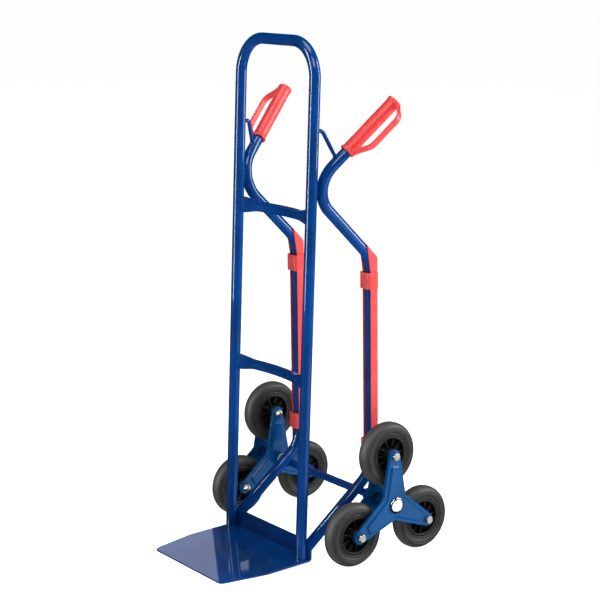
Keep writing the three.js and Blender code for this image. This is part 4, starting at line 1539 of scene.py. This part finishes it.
def build_stage():
    stage = settings().stage
    glow = Finish("pale_floor")
    speckle = glow.noise(3.0, 2.0)
    base = glow.mix(speckle * 0.05, linear(stage.floor), linear(stage.floor, 0.98))
    glow.shine({
        "Base Color": base,
        "Roughness": 0.9,
        "Specular IOR Level": 0.0,
        "Emission Color": base,
        "Emission Strength": stage.floor_glow,
    })
    wide = 90.0
    rings = [[Vector((x, y, 0)) for x, y in circle(r, 96)] for r in (wide, wide / 4)]
    shape = Shape()
    made = [shape.ring(points) for points in rings]
    shape.bridge(made[0], made[1])
    shape.bm.faces.new(made[1])
    floor = add_object("floor", shape.mesh("floor"))
    if floor.data.polygons[0].normal.z < 0:
        floor.data.flip_normals()
    floor.data.materials.append(glow.material)
    # Reflections show the soft boxes and cards, not the floor.
    floor.visible_glossy = False

    world = bpy.data.worlds.new("pale_background")
    bpy.context.scene.world = world
    world.use_nodes = True
    background = world.node_tree.nodes["Background"]
    background.inputs["Color"].default_value = linear(stage.floor)
    background.inputs["Strength"].default_value = stage.sky
    # Seen only directly, above the horizon.
    world.cycles_visibility.diffuse = False
    world.cycles_visibility.glossy = False

    target = Vector(stage.target)
    # Name, azimuth, elevation, distance, width, height, power and colour.
    white = (1.0, 1.0, 1.0)
    lavender = (0.72, 0.76, 1.0)
    soft_boxes = (
        ("front_box", 58, 48, 3.4, 1.6, 1.2, 46, white),
        ("top_box", 20, 84, 3.0, 1.5, 1.5, 44, white),
        ("right_box", 147, 18, 3.3, 1.2, 2.6, 105, white),
    )
    cards = (
        ("left_card", -20, 16, 3.2, 0.6, 3.0, 150, white),
        ("back_card", 252.2, 13, 3.3, 1.3, 0.9, 6, lavender),
        ("back_strip", 239.1, 11.2, 3.3, 0.09, 0.14, 0.05, lavender),
        ("low_card", 122, -27, 2.6, 1.8, 0.9, 6, white),
    )
    for panel in soft_boxes:
        add_panel(target, *panel)
    for panel in cards:
        # A card shows in reflections and lights nothing.
        add_panel(target, *panel).visible_diffuse = False

    lens = bpy.data.cameras.new("camera")
    lens.lens = stage.lens
    lens.sensor_width = 36.0
    lens.clip_end = 200.0
    camera = bpy.data.objects.new("camera", lens)
    bpy.context.scene.collection.objects.link(camera)
    back = compass(stage.azimuth, stage.elevation)
    right = Vector((math.cos(stage.azimuth), math.sin(stage.azimuth), 0))
    up = back.cross(right)
    turned_right = right * math.cos(stage.roll) + up * math.sin(stage.roll)
    turned_up = up * math.cos(stage.roll) - right * math.sin(stage.roll)
    rotation = Matrix((turned_right, turned_up, back)).transposed()
    camera.matrix_world = Matrix.Translation(target + back * stage.distance) @ rotation.to_4x4()
    bpy.context.scene.camera = camera
    bpy.context.scene.view_settings.view_transform = "Standard"


def add_panel(target, name, azimuth, elevation, distance, width, height, power, tint):
    """Adds a glowing rectangle that faces the target and is not seen directly."""
    light = bpy.data.lights.new(name, "AREA")
    light.shape = "RECTANGLE"
    light.size = width
    light.size_y = height
    light.energy = power
    light.color = tint
    panel = bpy.data.objects.new(name, light)
    bpy.context.scene.collection.objects.link(panel)
    back = compass(math.radians(azimuth), math.radians(elevation))
    panel.location = target + back * distance
    panel.rotation_mode = "QUATERNION"
    panel.rotation_quaternion = (-back).to_track_quat("-Z", "Y")
    panel.visible_camera = False
    return panel


def compass(azimuth, elevation):
    """The direction from the target towards something at this azimuth and elevation."""
    level = math.cos(elevation)
    return Vector((
        math.sin(azimuth) * level, -math.cos(azimuth) * level, math.sin(elevation)
    ))


# ---- Operators and panel ----

class SACKTRUCK_OT_hoop(bpy.types.Operator):
    """Build the hoop of both uprights and the top bar"""

    bl_idname = "sack_truck.hoop"
    bl_label = "Hoop"

    def execute(self, context):
        build_hoop()
        return {"FINISHED"}


class SACKTRUCK_OT_rear_tubes(bpy.types.Operator):
    """Build the two bent rear tubes"""

    bl_idname = "sack_truck.rear_tubes"
    bl_label = "Rear Tubes"

    def execute(self, context):
        build_rear_tubes()
        return {"FINISHED"}


class SACKTRUCK_OT_crossbars(bpy.types.Operator):
    """Build the two bowed crossbars with flattened ends"""

    bl_idname = "sack_truck.crossbars"
    bl_label = "Crossbars"

    def execute(self, context):
        build_crossbars()
        return {"FINISHED"}


class SACKTRUCK_OT_toe_plate(bpy.types.Operator):
    """Build the folded toe plate"""

    bl_idname = "sack_truck.toe_plate"
    bl_label = "Toe Plate"

    def execute(self, context):
        build_toe_plate()
        return {"FINISHED"}


class SACKTRUCK_OT_struts(bpy.types.Operator):
    """Build the two handle struts"""

    bl_idname = "sack_truck.struts"
    bl_label = "Handle Struts"

    def execute(self, context):
        build_struts()
        return {"FINISHED"}


class SACKTRUCK_OT_grips(bpy.types.Operator):
    """Build the two grips with their knuckle guards"""

    bl_idname = "sack_truck.grips"
    bl_label = "Grips"

    def execute(self, context):
        build_grips()
        return {"FINISHED"}


class SACKTRUCK_OT_rails(bpy.types.Operator):
    """Build the slide rails behind the rear tubes"""

    bl_idname = "sack_truck.rails"
    bl_label = "Slide Rails"

    def execute(self, context):
        build_rails()
        return {"FINISHED"}


class SACKTRUCK_OT_clips(bpy.types.Operator):
    """Build the clips that hold the slide rails"""

    bl_idname = "sack_truck.clips"
    bl_label = "Rail Clips"

    def execute(self, context):
        build_clips()
        return {"FINISHED"}


class SACKTRUCK_OT_axle(bpy.types.Operator):
    """Build the axle, its collars and its thrust washers"""

    bl_idname = "sack_truck.axle"
    bl_label = "Axle"

    def execute(self, context):
        build_axle()
        return {"FINISHED"}


class SACKTRUCK_OT_caps(bpy.types.Operator):
    """Build the domed end caps of the axle"""

    bl_idname = "sack_truck.caps"
    bl_label = "End Caps"

    def execute(self, context):
        build_caps()
        return {"FINISHED"}


class SACKTRUCK_OT_welds(bpy.types.Operator):
    """Build the weld beads of the frame"""

    bl_idname = "sack_truck.welds"
    bl_label = "Welds"

    def execute(self, context):
        build_welds()
        return {"FINISHED"}


class SACKTRUCK_OT_star_plates(bpy.types.Operator):
    """Build the pressed plates of both stars"""

    bl_idname = "sack_truck.star_plates"
    bl_label = "Star Plates"

    def execute(self, context):
        build_star_plates()
        return {"FINISHED"}


class SACKTRUCK_OT_hub_tubes(bpy.types.Operator):
    """Build the tubes that carry the star plates on the axle"""

    bl_idname = "sack_truck.hub_tubes"
    bl_label = "Hub Tubes"

    def execute(self, context):
        build_hub_tubes()
        return {"FINISHED"}


class SACKTRUCK_OT_fasteners(bpy.types.Operator):
    """Build the wheel bolts, nuts and sleeves"""

    bl_idname = "sack_truck.fasteners"
    bl_label = "Bolts and Nuts"

    def execute(self, context):
        build_fasteners()
        return {"FINISHED"}


class SACKTRUCK_OT_hubs(bpy.types.Operator):
    """Build the ribbed wheel hubs"""

    bl_idname = "sack_truck.hubs"
    bl_label = "Wheel Hubs"

    def execute(self, context):
        build_hubs()
        return {"FINISHED"}


class SACKTRUCK_OT_tyres(bpy.types.Operator):
    """Build the six solid tyres"""

    bl_idname = "sack_truck.tyres"
    bl_label = "Tyres"

    def execute(self, context):
        build_tyres()
        return {"FINISHED"}


class SACKTRUCK_OT_stage(bpy.types.Operator):
    """Add the floor, the lights and the camera"""

    bl_idname = "sack_truck.stage"
    bl_label = "Stage"

    def execute(self, context):
        build_stage()
        return {"FINISHED"}


OPERATORS = (
    SACKTRUCK_OT_hoop,
    SACKTRUCK_OT_rear_tubes,
    SACKTRUCK_OT_crossbars,
    SACKTRUCK_OT_toe_plate,
    SACKTRUCK_OT_struts,
    SACKTRUCK_OT_grips,
    SACKTRUCK_OT_rails,
    SACKTRUCK_OT_clips,
    SACKTRUCK_OT_axle,
    SACKTRUCK_OT_caps,
    SACKTRUCK_OT_welds,
    SACKTRUCK_OT_star_plates,
    SACKTRUCK_OT_hub_tubes,
    SACKTRUCK_OT_fasteners,
    SACKTRUCK_OT_hubs,
    SACKTRUCK_OT_tyres,
    SACKTRUCK_OT_stage,
)

GROUPS = (
    FrameSizes,
    PlateSizes,
    GripSizes,
    RailSizes,
    StarSizes,
    WheelSizes,
    Finishes,
    StageSettings,
    TruckSettings,
)


class SACKTRUCK_PT_pieces(bpy.types.Panel):
    """Lists the truck's pieces and its sizes"""

    bl_idname = "SACKTRUCK_PT_pieces"
    bl_label = "Sack Truck"
    bl_space_type = "VIEW_3D"
    bl_region_type = "UI"
    bl_category = "Sack Truck"

    def draw(self, context):
        column = self.layout.column(align=True)
        for operator in OPERATORS:
            column.operator(operator.bl_idname)
        for group in TruckSettings.__annotations__:
            box = self.layout.box()
            box.label(text=group.title())
            sizes = getattr(context.scene.sack_truck, group)
            for name in type(sizes).__annotations__:
                box.prop(sizes, name)


def register():
    for cls in (*GROUPS, *OPERATORS, SACKTRUCK_PT_pieces):
        bpy.utils.register_class(cls)
    bpy.types.Scene.sack_truck = PointerProperty(type=TruckSettings)


def unregister():
    del bpy.types.Scene.sack_truck
    for cls in reversed((*GROUPS, *OPERATORS, SACKTRUCK_PT_pieces)):
        bpy.utils.unregister_class(cls)


def main():
    register()
    for operator in OPERATORS:
        family, name = operator.bl_idname.split(".")
        getattr(getattr(bpy.ops, family), name)()


if __name__ == "__main__":
    main()
